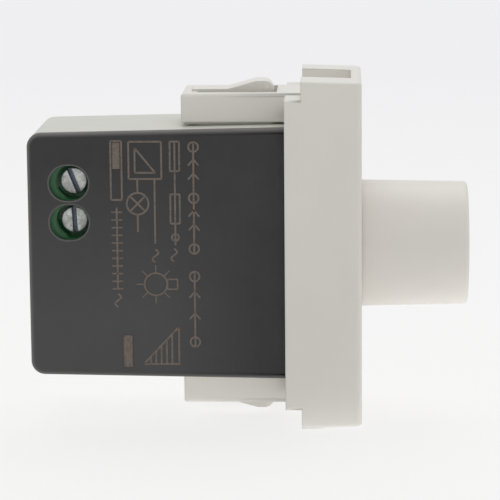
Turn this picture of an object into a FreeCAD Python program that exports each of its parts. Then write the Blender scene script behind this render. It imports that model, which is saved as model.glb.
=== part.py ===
import FreeCAD, Part
import Sketcher
import os
import re

# LED dimmer module of the 45 by 22.5 mm modular wiring format, in millimetres.
# X runs out of the wall: the frame's front face is at X = 0 and the knob stands out of it.
# Y runs across the narrow width and Z up the long side, both from the knob's axis.
# The cover with the two screw holes faces -Y, and the wires come in from the rear, along X.

SIZES = [
    # front frame
    ("format_height", 45.0, "height of the flange at its rear"),
    ("format_width", 22.5, "width of the frame, one module"),
    ("flange_depth", 7.75, "flange that stands in front of the wall plate"),
    ("flange_taper", 0.25, "draft of each flange end over its depth"),
    ("skirt_step", 2.4, "flange beyond the skirt at each end"),
    ("skirt_depth", 2.1, "depth of the part behind the flange"),
    ("frame_wall", 1.6, "side and end walls of the frame"),
    ("frame_front_wall", 1.8, "front wall with the knob opening"),
    ("frame_round", 0.45, "rounding of the frame's outer edges"),
    ("front_round", 1.0, "rounding of the two long front edges"),
    ("knob_gap", 0.25, "gap round the knob in its opening"),
    ("guide_gap", 0.2, "space between the knob's collar and the case"),
    ("post_width", 3.0, "corner posts that the case stops against"),
    ("notch_front", 1.35, "front wall left in front of each flange notch"),
    # snap arms
    ("arm_rise", 0.3, "arms beyond the skirt at each end"),
    ("arm_width", 10.5, "width of each arm"),
    ("arm_length", 13.4, "reach of each arm behind the skirt"),
    ("arm_height", 3.75, "depth of each arm's channel"),
    ("arm_wall", 1.3, "side walls of the channel"),
    ("arm_plate", 1.2, "outer plate of the channel"),
    ("arm_round", 0.5, "rounding of the arm's outer edges"),
    ("arm_web_step", 0.75, "set back of the web under each arm"),
    ("tongue_width", 5.0, "springy tongue cut free in the arm"),
    ("tongue_rise", 0.25, "height of the tongue above the rims"),
    ("tongue_inset", 2.2, "tip of the tongue behind the skirt"),
    ("tongue_slot", 1.1, "open slot in front of the tongue's tip"),
    ("ramp_height", 1.25, "height of the catch above the tongue"),
    ("ramp_slope", 3.6, "length of the catch's lead-in slope"),
    ("ramp_crest", 1.0, "length of the catch's flat top"),
    ("heel_sink", 0.1, "centre of the heel's rounding below the arm's outside"),
    # case
    ("case_recess", 2.4, "space between frame front wall and case"),
    ("case_side_gap", 0.25, "space between the case's sides and the frame"),
    ("case_arm_gap", 0.175, "space between the case and each arm"),
    ("case_draft", 0.725, "draft of each end of the case over its length"),
    ("case_wall", 1.2, "walls of the case body"),
    ("case_corner", 1.8, "corner radius at the rear of the case"),
    ("case_edge", 0.5, "rounding of the body's far edges"),
    ("cover_thickness", 1.2, "plate of the cover"),
    ("cover_edge", 0.75, "rounding of the cover's rim"),
    ("cover_lip_depth", 1.6, "lip of the cover inside the body"),
    ("cover_lip_wall", 0.9, "thickness of the cover's lips"),
    ("cover_lip_inset", 2.5, "lips in from the ends of the case"),
    ("seam_gap", 0.1, "clearance between lip and body"),
    ("case_clearance", 0.15, "clearance between case and frame's posts and ribs"),
    ("lug_height", 0.9, "height of the case's retaining lugs"),
    ("lug_length", 1.4, "length of a retaining lug"),
    ("lug_width", 5.0, "width of a retaining lug"),
    ("lug_gap", 0.15, "play of the lugs behind the frame's ribs"),
    ("rib_inset", 2.8, "frame ribs behind the front of the case"),
    # terminals
    ("terminal_pitch", 5.08, "spacing of the two poles"),
    ("terminal_inset", 8.95, "middle between the poles in from the end of the case"),
    ("screw_inset", 5.8, "screw axis in from the rear of the case"),
    ("screw_hole", 4.8, "height of the access holes"),
    ("screw_hole_stretch", 0.5, "extra width of the access holes"),
    ("screw_hole_shift", 0.45, "access hole rearward of its screw"),
    ("block_gap", 0.5, "block in from the inner face of the rear wall"),
    ("block_depth", 9.4, "depth of the block along X"),
    ("block_headroom", 0.2, "gap between block and cover"),
    ("well_radius", 2.3, "screw well in the block"),
    ("block_floor", 1.52, "block between the lowered cage and the board"),
    ("seat_thickness", 1.0, "ledge under the screw head"),
    ("screw_head_radius", 1.68, "head of the terminal screw"),
    ("screw_head_height", 1.4, "height of the head"),
    ("screw_slot_width", 0.6, "screwdriver slot"),
    ("screw_slot_depth", 0.7, "depth of the slot"),
    ("screw_radius", 1.25, "shank of the M2.5 terminal screw"),
    ("screw_length", 4.8, "shank below the head"),
    ("screw_fit", 0.06, "radial clearance of the screw"),
    ("seat_gap", 0.03, "running gap under the screw head"),
    ("slot_angle_upper", 66.0, "degrees that the upper screw is turned"),
    ("slot_angle_lower", 87.5, "degrees that the lower screw is turned"),
    ("cage_length", 3.8, "cage along the wire"),
    ("cage_width", 3.7, "cage across the wire"),
    ("cage_height", 6.1, "cage from top to bottom"),
    ("cage_wall", 0.5, "sheet of the cage"),
    ("cage_top", 0.9, "threaded top plate of the cage"),
    ("cage_travel", 1.8, "way that the cage rises"),
    ("cage_fit", 0.13, "clearance of the cage in its chamber"),
    ("wire_hole_radius", 2.1, "wire entry in the rear wall"),
    ("block_entry_radius", 1.9, "wire entry in the block"),
    ("contact_thickness", 0.6, "contact strip that the wire is pressed on"),
    ("contact_gap", 0.2, "space between screw end and contact strip"),
    ("contact_fit", 0.04, "contact strip in the block and in the cage"),
    ("block_front_wall", 1.6, "front wall of the block"),
    ("pin_width", 1.0, "solder pin"),
    ("pin_tail", 0.7, "pin beyond the board"),
    # circuit board
    ("board_thickness", 1.6, "circuit board"),
    ("board_side_gap", 0.35, "board in from the two long walls at the rear"),
    ("board_post", 1.4, "posts that the board rests on"),
    ("board_post_width", 2.4, "square posts"),
    ("board_post_inset", 2.0, "middle of each post in from the board's edges"),
    ("board_margin", 0.5, "board in from the rear wall"),
    ("board_front_margin", 1.5, "board in from the front wall"),
    ("board_hole_gap", 0.15, "clearance round the pins"),
    ("fork_gap", 0.8, "clearance of the board round the potentiometer"),
    # potentiometer with its switch
    ("bush_radius", 4.0, "threaded bush, M8 fine"),
    ("bush_reach", 3.4, "bush in front of the case"),
    ("bush_plate", 1.4, "plate of the bush behind the case wall"),
    ("bush_hole_gap", 0.1, "clearance of the bush in the case wall"),
    ("nut_width", 10.0, "across flats"),
    ("nut_height", 2.0, "height of the bush nut"),
    ("thread_fit", 0.05, "radial clearance of the nut on the bush"),
    ("washer_radius", 5.8, "washer under the nut"),
    ("washer_thickness", 0.5, "washer under the nut"),
    ("can_gap", 0.75, "space between the potentiometer can and the cover"),
    ("can_wall", 0.6, "sheet of the can"),
    ("can_depth", 7.6, "length of the can"),
    ("can_rim_gap", 0.2, "rim of the can behind the case wall"),
    ("can_fit", 0.05, "bush plate and track inside the can"),
    ("track_thickness", 1.0, "wafer with the resistive track"),
    ("track_tab", 2.4, "terminals of the track outside the can"),
    ("track_tab_width", 1.2, "terminals of the track"),
    ("track_tab_thickness", 0.5, "terminals of the track"),
    ("rotor_gap", 0.3, "running gap before and behind the rotor"),
    ("rotor_room", 0.65, "space round the rotor that carries the wiper"),
    ("rotor_disc", 1.2, "disc of the rotor"),
    ("rotor_hub", 4.7, "radius of the rotor's hub"),
    ("rotor_shoulder_gap", 0.1, "clearance round the spindle shoulder"),
    ("spindle_radius", 3.0, "6 mm spindle"),
    ("spindle_flat", 2.4, "distance of the flat from the axis"),
    ("spindle_reach", 9.5, "spindle in front of the frame"),
    ("spindle_fit", 0.05, "radial clearance of the spindle"),
    ("shoulder_radius", 3.35, "shoulder that keeps the spindle in"),
    ("shoulder_length", 1.0, "length of the shoulder"),
    ("push_travel", 1.6, "way of the push-push switch"),
    ("switch_length", 11.0, "switch case along X"),
    ("switch_overlap", 0.4, "switch case beyond the board's face"),
    ("switch_inset", 1.45, "ends of the switch case inside the can's outline"),
    ("switch_wall", 1.6, "rear wall of the switch case"),
    ("plunger_radius", 3.7, "plunger of the switch"),
    ("plunger_length", 3.3, "guided length of the plunger"),
    ("plunger_tail_radius", 1.4, "tail inside the spring"),
    ("plunger_tail", 2.0, "length of the tail"),
    ("plunger_gap", 0.05, "between spindle end and plunger"),
    ("spring_radius", 2.4, "mean radius of the return spring"),
    ("spring_wire", 0.2, "half the thickness of the spring's wire"),
    ("spring_turns", 3.0, "turns of the return spring"),
    ("tab_width", 1.4, "solder tabs of the switch"),
    ("tab_thickness", 0.5, "solder tabs of the switch"),
    ("tab_length", 2.0, "solder tabs of the switch"),
    ("tab_start", 2.0, "first solder tab from the knob's axis"),
    ("tab_spacing", 3.0, "between the two solder tabs"),
    # knob
    ("knob_radius", 8.33, "knob at the frame"),
    ("knob_tip_radius", 8.06, "knob where its end rounds off"),
    ("knob_reach", 14.0, "knob in front of the frame"),
    ("knob_skirt", 1.0, "knob inside the opening"),
    ("knob_wall", 1.4, "shell of the knob"),
    ("knob_end", 1.6, "end wall of the knob"),
    ("knob_round", 0.5, "rounding of the knob's end, drawn as two flats"),
    ("knob_boss_radius", 4.6, "boss on the spindle"),
    ("knob_boss_gap", 0.4, "boss clear of the bush when pushed in"),
    ("knob_fit", 0.02, "clearance of the knob on the spindle"),
    ("knob_rib", 1.0, "ribs between boss and shell"),
    # parts on the board
    ("row_room", 7.6, "space for parts between terminal block and switch"),
    ("part_headroom", 0.8, "space between the tall parts and the cover's lips"),
    ("film_length", 11.0, "film capacitor"),
    ("film_width", 5.2, "film capacitor"),
    ("choke_width", 10.0, "choke along Z"),
    ("choke_height", 7.0, "choke above the board"),
    ("choke_yoke", 1.6, "outer limbs of the choke's core"),
    ("winding_room", 0.1, "space between the winding and the outer limbs"),
    ("winding_fit", 0.05, "winding round the middle limb"),
    ("winding_width", 1.5, "winding beyond the middle limb"),
    ("smoothing_radius", 2.5, "electrolytic capacitor"),
    ("varistor_radius", 3.1, "varistor disc"),
    ("varistor_thickness", 2.6, "varistor disc"),
    ("varistor_inset", 2.8, "varistor in from the board's upper edge"),
    ("lead_length", 0.8, "leads below varistor and transistors"),
    ("lead_width", 0.6, "leads below varistor and transistors"),
    ("fuse_radius", 1.05, "small axial fuse"),
    ("fuse_length", 7.0, "small axial fuse"),
    ("chip_length", 4.9, "control chip"),
    ("chip_width", 3.9, "control chip"),
    ("chip_height", 1.5, "control chip"),
    ("transistor_width", 6.6, "power transistor"),
    ("transistor_thickness", 2.3, "power transistor"),
    ("transistor_height", 7.0, "power transistor"),
    ("transistor_spacing", 8.0, "between the two transistors"),
    ("leg_spacing", 2.3, "between the legs of a transistor"),
    ("plate_length", 15.6, "aluminium plate behind the transistors"),
    ("plate_thickness", 1.2, "aluminium plate behind the transistors"),
    ("part_gap", 0.4, "space between neighbours on the board"),
    ("edge_gap", 0.1, "parts in from the long edges of the board"),
]

# Places that several pieces share, each worked out from the sizes. Cutting tools run
# past a face by "past", and pieces that are joined reach "sunk" deep into each other.
PLACES = {
    "past": "case_wall",
    "sunk": "frame_wall / 8",
    "skirt_rear": "-(flange_depth + skirt_depth)",
    "skirt_height": "format_height - 2 * skirt_step",
    "inside_width": "format_width - 2 * frame_wall",
    "inside_height": "skirt_height - 2 * frame_wall",
    "arm_end": "skirt_rear - arm_length",
    "arm_outer": "skirt_height / 2 + arm_rise",
    "arm_inner": "arm_outer - arm_height",
    "tongue_end": "skirt_rear - tongue_inset",
    "crest_end": "tongue_end - ramp_height / 2",
    "heel_radius": "ramp_height + heel_sink",
    "case_width": "inside_width - 2 * case_side_gap",
    "case_front_height": "2 * (arm_inner - case_arm_gap)",
    "case_rear_height": "case_front_height - 2 * case_draft",
    "case_length": "2 * case_wall + block_gap + block_depth + row_room + switch_length"
                   " + can_depth + can_rim_gap",
    "case_front": "-(frame_front_wall + case_recess)",
    "case_rear": "case_front - case_length",
    "rib_front": "case_front - rib_inset",
    "cover_face": "-case_width / 2",
    "cover_back": "cover_face + cover_thickness",
    "case_far": "case_width / 2",
    "case_floor": "case_far - case_wall",
    "inner_front": "case_front - case_wall",
    "inner_rear": "case_rear + case_wall",
    "screw_place": "case_rear + screw_inset",
    "board_far": "case_floor - board_post",
    "board_face": "board_far - board_thickness",
    "block_rear": "inner_rear + block_gap",
    "block_front": "block_rear + block_depth",
    "block_top": "cover_back + block_headroom",
    "cage_stop": "board_face - block_floor",
    "cage_start": "cage_stop - cage_height",
    "chamber_top": "cage_start - cage_travel - cage_fit",
    "head_seat": "chamber_top - seat_thickness",
    "terminal_centre": "case_rear_height / 2 - terminal_inset",
    "cage_side": "cage_width / 2 + cage_fit",
    "contact_top": "head_seat + screw_length + contact_gap",
    "contact_under": "contact_top + contact_thickness",
    "contact_front": "block_front - block_front_wall",
    "wire_line": "(contact_under + cage_stop - cage_wall) / 2",
    "bush_back": "inner_front - bush_plate",
    "bush_tip": "case_front + bush_reach",
    "nut_foot": "case_front + washer_thickness",
    "can_rim": "inner_front - can_rim_gap",
    "can_rear": "can_rim - can_depth",
    "can_radius": "-(cover_back + can_gap)",
    "can_inside": "can_radius - can_wall",
    "rotor_radius": "can_inside - rotor_room",
    "wafer_radius": "can_inside - can_fit",
    "tab_row": "2.5 * track_tab_width",
    "track_back": "bush_back - track_thickness",
    "rotor_front": "track_back - rotor_gap",
    "rotor_back": "can_rear + can_wall + rotor_gap",
    "shoulder_front": "bush_back - spindle_fit",
    "shoulder_back": "shoulder_front - shoulder_length",
    "shoulder_room": "shoulder_radius + rotor_shoulder_gap",
    "spindle_end": "can_rear - push_travel",
    "plunger_front": "spindle_end - plunger_gap",
    "plunger_back": "plunger_front - plunger_length",
    "switch_rear": "can_rear - switch_length",
    "chamber_rear": "switch_rear + switch_wall",
    "knob_inside": "knob_tip_radius - knob_wall",
    "boss_start": "bush_tip + push_travel + knob_boss_gap",
    "board_rear": "inner_rear + board_margin",
    "board_tip": "inner_front - board_front_margin",
    "board_front": "switch_rear - fork_gap",
    "board_side": "case_rear_height / 2 - case_wall - board_side_gap",
    "fork_side": "can_radius + fork_gap",
    "choke_low": "edge_gap - board_side",
    "choke_top": "board_face - choke_height",
    "row_start": "block_front + part_gap",
    "tall_part": "board_face - (cover_back + cover_lip_depth + part_headroom)",
    "lead_top": "board_face - lead_length",
    "varistor_low": "board_side - varistor_inset - varistor_thickness",
    "smoothing_z": "varistor_low - part_gap - smoothing_radius",
    "chip_low": "smoothing_z - smoothing_radius - part_gap - chip_width",
    "fork_row": "row_start + 2 * varistor_radius + part_gap",
    "plate_face": "edge_gap + plate_thickness - board_side",
}

doc = FreeCAD.newDocument("dimmer_module")
sheet = doc.addObject("Spreadsheet::Sheet", "Sizes")
for row, (alias, value, note) in enumerate(SIZES, start=1):
    sheet.set(f"A{row}", note)
    sheet.set(f"B{row}", str(value))
    sheet.setAlias(f"B{row}", alias)
doc.recompute()

ruler = doc.addObject("App::FeaturePython", "Ruler")
ruler.addProperty("App::PropertyFloat", "Value")

ALIASES = {alias for alias, value, note in SIZES}
NODES = {}


def formula(text):
    """The expression for a text that uses the names of sizes and places."""
    def spell(match):
        word = match.group(0)
        if word in PLACES:
            return "(" + formula(PLACES[word]) + ")"
        if word in ALIASES:
            return "Sizes." + word
        return word
    return re.sub(r"[a-z][a-z_]*[a-z]", spell, str(text))


def bind(thing, **sizes):
    """Tie properties of a feature to formulas."""
    for name, text in sizes.items():
        thing.setExpression(name, formula(text))
    return thing


def place(thing, x=0, y=0, z=0):
    """Tie a feature's position to formulas."""
    for axis, text in (("x", x), ("y", y), ("z", z)):
        if text != 0:
            thing.setExpression("Placement.Base." + axis, formula(text))
    return thing


TURNS = {
    "x": FreeCAD.Rotation(FreeCAD.Vector(0, 1, 0), 90),
    "y": FreeCAD.Rotation(FreeCAD.Vector(1, 0, 0), -90),
    "z": FreeCAD.Rotation(),
}


def block(name, x, y, z):
    """A box between two formulas along each axis."""
    box = doc.addObject("Part::Box", name)
    for side, (start, end) in (("Length", x), ("Width", y), ("Height", z)):
        box.setExpression(side, formula(f"({end}) - ({start})"))
    return place(box, x[0], y[0], z[0])


def around(middle, width):
    """The two ends of a width that lies centred on a place."""
    return f"({middle}) - ({width}) / 2", f"({middle}) + ({width}) / 2"


def through(start, end):
    """The span of a tool that cuts right through, past both ends."""
    return f"{start} - past", f"{end} + past"


def rod(name, radius, along, span, x=0, y=0, z=0):
    """A cylinder along one axis, between the two formulas of span."""
    cylinder = doc.addObject("Part::Cylinder", name)
    bind(cylinder, Radius=radius, Height=f"({span[1]}) - ({span[0]})")
    cylinder.Placement = FreeCAD.Placement(FreeCAD.Vector(), TURNS[along])
    where = {"x": x, "y": y, "z": z}
    where[along] = span[0]
    return place(cylinder, **where)


def tapered(name, x, y, half_rear, half_front, z=0):
    """A block along X whose half height changes evenly from its rear to its front."""
    wedge = doc.addObject("Part::Wedge", name)
    bind(wedge, Ymin=x[0], Ymax=x[1])
    bind(wedge, Xmin=f"-({y[1]})", X2min=f"-({y[1]})", Xmax=f"-({y[0]})", X2max=f"-({y[0]})")
    bind(wedge, Zmin=f"-({half_rear})", Zmax=half_rear, Z2min=f"-({half_front})", Z2max=half_front)
    wedge.Placement = FreeCAD.Placement(FreeCAD.Vector(), FreeCAD.Rotation(FreeCAD.Vector(0, 0, 1), -90))
    return place(wedge, z=z)


def join(name, *pieces):
    """All pieces as one solid."""
    union = doc.addObject("Part::MultiFuse", name)
    union.Shapes = list(pieces)
    union.Refine = True
    return union


def cut(name, base, *tools):
    """The base without the tools."""
    tool = tools[0]
    if len(tools) > 1:
        tool = join(name + "_tools", *tools)
    difference = doc.addObject("Part::Cut", name)
    difference.Base = base
    difference.Tool = tool
    difference.Refine = True
    return difference


def overlap(name, first, second):
    """What two pieces share."""
    shared = doc.addObject("Part::Common", name)
    shared.Base = first
    shared.Tool = second
    return shared


def flipped(name, thing):
    """The thing mirrored to the other end of the frame, Z to -Z."""
    mirror = doc.addObject("Part::Mirroring", name)
    mirror.Source = thing
    mirror.Normal = FreeCAD.Vector(0, 0, 1)
    return mirror


def size(alias):
    """The number in a cell, for what takes no formula."""
    return float(sheet.get(alias))


def number(text):
    """The value of a formula now, worked out by the document."""
    ruler.setExpression("Value", formula(text))
    ruler.recompute()
    return ruler.Value


def same(first, second):
    """Whether two places found on a shape are one and the same."""
    return abs(first - second) < 0.01


def rounded(name, base, **choices):
    """The base with edges rounded. Each size is given the test of edge and box that picks them."""
    doc.recompute()
    box = base.Shape.BoundBox
    picked = []
    for alias, chosen in choices.items():
        radius = size(alias)
        picked += [(n, radius, radius) for n, edge in enumerate(base.Shape.Edges, start=1)
                   if chosen(edge, box)]
    fillet = doc.addObject("Part::Fillet", name)
    fillet.Base = base
    fillet.Edges = picked
    return fillet


def runs_along(edge, axis):
    """Whether a straight edge lies along an axis, within a small draft."""
    if not isinstance(edge.Curve, Part.Line):
        return False
    direction = edge.tangentAt(edge.FirstParameter)
    return abs(getattr(direction, axis)) > 0.99


def outline(body, plane, name, points):
    """A closed sketch of straight lines through points given as pairs of formulas."""
    sketch = body.newObject("Sketcher::SketchObject", name)
    origin_plane = [f for f in body.Origin.OriginFeatures if f.Role == plane][0]
    sketch.AttachmentSupport = (origin_plane, [""])
    sketch.MapMode = "FlatFace"
    spots = [FreeCAD.Vector(number(across), number(up), 0) for across, up in points]
    count = len(points)
    for n in range(count):
        sketch.addGeometry(Part.LineSegment(spots[n], spots[(n + 1) % count]), False)
    for n in range(count):
        sketch.addConstraint(Sketcher.Constraint("Coincident", n, 2, (n + 1) % count, 1))
    for n, (across, up) in enumerate(points):
        for kind, text, value in (("DistanceX", across, spots[n].x), ("DistanceY", up, spots[n].y)):
            index = sketch.addConstraint(Sketcher.Constraint(kind, -1, 1, n, 1, value))
            sketch.setExpression(f"Constraints[{index}]", formula(text))
    return sketch


def with_flat(name, radius, flat, span):
    """A shaft along X with a flat on its upper side."""
    shaft = rod(name + "_round", radius, "x", span)
    above = block(name + "_above", span, (f"-({radius})", radius), (flat, radius))
    return cut(name, shaft, above)


def node(name, thing):
    """Give a finished piece its name."""
    thing.Label = name
    NODES[name] = thing


# Front frame, one moulding. A flange stands in front of the wall plate, a shallower skirt
# goes into the plate's opening, and two arms reach back to snap in behind the plate.

def long_front_edge(edge, box):
    """The two long edges of the front face."""
    return same(edge.BoundBox.XMin, box.XMax) and runs_along(edge, "z")


def outer_edge(edge, box):
    """The corners of the frame along X and the two short edges of its front face."""
    at_front = same(edge.BoundBox.XMin, box.XMax) and runs_along(edge, "y")
    at_side = same(abs(edge.BoundBox.Center.y), box.YMax)
    return at_front or (at_side and runs_along(edge, "x"))


def frame_outside():
    width = around("0", "format_width")
    flange = tapered("flange", ("-flange_depth", "0"), width,
                     "format_height / 2", "format_height / 2 - flange_taper")
    skirt = block("skirt", ("skirt_rear", "-flange_depth / 2"), width,
                  around("0", "skirt_height"))
    return rounded("frame_outside", join("frame_blank", flange, skirt),
                   front_round=long_front_edge, frame_round=outer_edge)


def arm_edge(edge, box):
    """The outer long edges of an arm and the edge at its end."""
    middle = edge.BoundBox.Center
    at_top = same(middle.z, box.ZMax)
    return at_top and (runs_along(edge, "x") or same(middle.x, box.XMin))


def catch():
    """What grips behind the wall plate: a lead-in slope, a flat crest and a rounded heel."""
    body = doc.addObject("PartDesign::Body", "catch_body")
    foot = "arm_outer - arm_plate / 2"
    crest = "arm_outer + ramp_height"
    profile = outline(body, "XZ_Plane", "catch_profile", [
        ("crest_end - ramp_crest - ramp_slope", foot),
        ("crest_end", foot),
        ("crest_end", crest),
        ("crest_end - ramp_crest", crest),
        ("crest_end - ramp_crest - ramp_slope", "arm_outer + tongue_rise"),
    ])
    pad = body.newObject("PartDesign::Pad", "catch_pad")
    pad.Profile = profile
    pad.Midplane = True
    bind(pad, Length="tongue_width")
    body.Tip = pad
    side = rod("heel_side", "heel_radius", "y", around("0", "tongue_width"),
               x="crest_end", z="arm_outer - heel_sink")
    bow = "(heel_radius / 2 + tongue_width ^ 2 / (8 * heel_radius))"
    plan = rod("heel_plan", bow, "z", (foot, crest), x=f"crest_end + heel_radius - {bow}")
    return join("catch", body, overlap("heel", side, plan))


def snap_arm():
    """A channel with a free tongue that carries the catch, and a web set back below it."""
    width = around("0", "arm_width")
    bar = block("arm_bar", ("arm_end", "-flange_depth"), width, ("arm_inner", "arm_outer"))
    bar = rounded("arm_rounded", bar, arm_round=arm_edge)
    web = block("arm_web", ("arm_end + arm_web_step", "rib_front"),
                around("0", "arm_width - 2 * arm_web_step"),
                ("case_rear_height / 2", "arm_inner + arm_round"))
    inside = around("0", "arm_width - 2 * arm_wall")
    inside_start = "arm_end + arm_wall + arm_web_step"
    hollow = block("arm_hollow", (inside_start, "skirt_rear - frame_wall"), inside,
                   ("case_rear_height / 2 - past", "arm_outer - arm_plate"))
    slot = block("arm_slot", (inside_start, "tongue_end + tongue_slot"), inside,
                 through("arm_outer - arm_plate", "arm_outer"))
    tongue = block("tongue", ("arm_end + arm_wall", "tongue_end"), around("0", "tongue_width"),
                   ("arm_outer - arm_plate", "arm_outer + tongue_rise"))
    channel = cut("arm_channel", join("arm_solid", bar, web), hollow, slot)
    return join("arm", channel, tongue, catch())


def front_frame():
    cavity = block("frame_cavity", ("skirt_rear - past", "-frame_front_wall"),
                   around("0", "inside_width"), around("0", "inside_height"))
    notch = block("notch", ("-flange_depth - past", "-notch_front"), around("0", "arm_width"),
                  ("arm_outer", "format_height / 2 + past"))
    shell = cut("frame_shell", frame_outside(), cavity, notch, flipped("lower_notch", notch))
    collar = rod("knob_collar", "(inside_width + frame_wall) / 2", "x",
                 ("case_front + guide_gap", "-frame_front_wall / 2"))
    posts = []
    for name, y in (("near", ("-inside_width / 2 - sunk", "post_width - inside_width / 2")),
                    ("far", ("inside_width / 2 - post_width", "inside_width / 2 + sunk"))):
        post = block(name + "_post", ("case_front", "-frame_front_wall / 2"), y,
                     ("case_front_height / 2 - post_width", "inside_height / 2 + sunk"))
        posts += [post, flipped(name + "_lower_post", post)]
    arm = snap_arm()
    whole = join("frame_whole", shell, collar, arm, flipped("lower_arm", arm), *posts)
    opening = rod("knob_opening", "knob_radius + knob_gap", "x", ("case_front", "past"))
    room = tapered("case_room", ("case_rear", "case_front"),
                   ("cover_face - case_clearance", "case_far + case_clearance"),
                   "case_rear_height / 2 + case_clearance", "case_front_height / 2 + case_clearance")
    node("front_frame", cut("frame_moulding", whole, opening, room))


front_frame()


# Case body, a moulded box that is open towards the cover. The frame's ribs hold it by two
# lugs, the potentiometer's bush goes through its front wall and the wires enter at the rear.

def case_block(name, x_inset, y, wall):
    """A block with the draft of the case, a wall's thickness inside its top and bottom."""
    return tapered(name, (f"case_rear + {x_inset}", f"case_front - {x_inset}"), y,
                   f"case_rear_height / 2 - ({wall})", f"case_front_height / 2 - ({wall})")


def rear_corner(edge, box):
    """The two corners at the rear of the case, which run across its width."""
    return runs_along(edge, "y") and same(edge.BoundBox.Center.x, box.XMin)


def far_edge(edge, box):
    """The edges round the far side of the body."""
    return same(edge.BoundBox.YMin, box.YMax) and not same(edge.BoundBox.Center.x, box.XMax)


def near_edge(edge, box):
    """The edges round the face of the cover."""
    return same(edge.BoundBox.YMax, box.YMin) and not same(edge.BoundBox.Center.x, box.XMax)


def poles():
    """Name and height of each pole of the terminal block."""
    return (("1", "terminal_centre + terminal_pitch / 2"), ("2", "terminal_centre - terminal_pitch / 2"))


def case_body():
    outside = case_block("body_blank", "0", ("cover_back", "case_far"), "0")
    outside = rounded("body_corners", outside, case_corner=rear_corner)
    outside = rounded("body_outside", outside, case_edge=far_edge)
    inside = case_block("body_inside", "case_wall", ("cover_back - past", "case_floor"), "case_wall")
    lug = block("case_lug", ("rib_front + lug_gap", "rib_front + lug_gap + lug_length"),
                around("0", "lug_width"),
                ("case_front_height / 2 - case_wall", "case_front_height / 2 + lug_height"))
    box = join("body_with_lugs", cut("body_box", outside, inside), lug, flipped("lower_lug", lug))
    bush_hole = rod("bush_hole", "bush_radius + bush_hole_gap", "x", through("inner_front", "case_front"))
    wire_holes = [rod("wire_hole_" + name, "wire_hole_radius", "x", through("case_rear", "inner_rear"),
                      y="wire_line", z=z) for name, z in poles()]
    posts = []
    for end, x in (("rear", "board_rear + board_post_inset"), ("front", "board_tip - board_post_inset")):
        post = block(end + "_board_post", around(x, "board_post_width"),
                     ("board_far", "case_floor + case_wall / 2"),
                     around("board_side - board_post_inset", "board_post_width"))
        posts += [post, flipped(end + "_lower_board_post", post)]
    drilled = cut("body_drilled", box, bush_hole, *wire_holes)
    node("case_body", join("body_moulding", drilled, *posts))


case_body()


# Case cover, a flat moulded lid with two lips that grip inside the body. A screwdriver
# reaches the terminal screws through its two access holes.

def case_cover():
    plate = case_block("cover_blank", "0", ("cover_face", "cover_back"), "0")
    plate = rounded("cover_corners", plate, case_corner=rear_corner)
    plate = rounded("cover_plate", plate, cover_edge=near_edge)
    depth = ("cover_back - cover_thickness / 2", "cover_back + cover_lip_depth")
    lips = cut("cover_lips",
               case_block("lips_outside", "(case_wall + cover_lip_inset)", depth, "case_wall + seam_gap"),
               case_block("lips_inside", "case_wall", depth, "case_wall + seam_gap + cover_lip_wall"))
    plate_span = through("cover_face", "cover_back")
    centres = around("screw_place - screw_hole_shift", "screw_hole_stretch")
    holes = []
    for name, z in poles():
        for side, x in zip(("rear", "front"), centres):
            holes.append(rod(f"access_{side}_{name}", "screw_hole / 2", "y", plate_span, x=x, z=z))
        holes.append(block("access_middle_" + name, centres, plate_span, around(z, "screw_hole")))
    node("case_cover", cut("cover_moulding", join("cover_solid", plate, lips), *holes))


case_cover()


# Terminal block, a moulded body with a screw well, a cage chamber and a wire entry per pole.

def terminal_block():
    body = block("block_body", ("block_rear", "block_front"), ("block_top", "board_face"),
                 around("terminal_centre", "2 * terminal_pitch"))
    rooms = []
    for name, z in poles():
        rooms += [
            rod("screw_well_" + name, "well_radius", "y", ("block_top - past", "head_seat"),
                x="screw_place", z=z),
            rod("seat_hole_" + name, "screw_radius + screw_fit", "y",
                through("head_seat", "chamber_top"), x="screw_place", z=z),
            block("cage_chamber_" + name, ("screw_place - cage_length / 2 - cage_fit", "contact_front"),
                  ("chamber_top", "cage_stop + cage_fit"), around(z, "2 * cage_side")),
            rod("block_entry_" + name, "block_entry_radius", "x", ("block_rear - past", "screw_place"),
                y="wire_line", z=z),
            block("pin_slot_" + name, ("contact_front - contact_thickness - seam_gap", "contact_front"),
                  ("cage_stop", "board_face + past"), around(z, "pin_width + 2 * seam_gap")),
        ]
    node("terminal_block", cut("block_moulding", body, *rooms))


def terminal_screw(name, z, angle):
    """A slotted screw, drawn on the Y axis and then turned and moved to its pole."""
    foot = "head_seat - seat_gap"
    top = foot + " - screw_head_height"
    head = rod("head_" + name, "screw_head_radius", "y", (top, foot))
    shank = rod("shank_" + name, "screw_radius", "y", (top + " / 2", "head_seat + screw_length"))
    slot = block("slot_" + name, around("0", "2 * screw_head_radius + past"),
                 (top + " - past", top + " + screw_slot_depth"), around("0", "screw_slot_width"))
    screw = cut("screw_" + name, join("screw_solid_" + name, head, shank), slot)
    turn = FreeCAD.Rotation(FreeCAD.Vector(0, 1, 0), size(angle))
    screw.Placement = FreeCAD.Placement(FreeCAD.Vector(), turn)
    node("terminal_screw_" + name, place(screw, "screw_place", 0, z))


def terminal_cage(name, z):
    """A bent sheet loop whose threaded top climbs the screw and lifts the wire."""
    loop = block("cage_loop_" + name, around("screw_place", "cage_length"), ("cage_start", "cage_stop"),
                 around(z, "cage_width"))
    inside = block("cage_inside_" + name, around("screw_place", "cage_length + past"),
                   ("cage_start + cage_top", "cage_stop - cage_wall"),
                   around(z, "cage_width - 2 * cage_wall"))
    thread = rod("cage_thread_" + name, "screw_radius + screw_fit", "y",
                 through("cage_start", "cage_start + cage_top"), x="screw_place", z=z)
    node("terminal_cage_" + name, cut("cage_" + name, loop, inside, thread))


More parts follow.
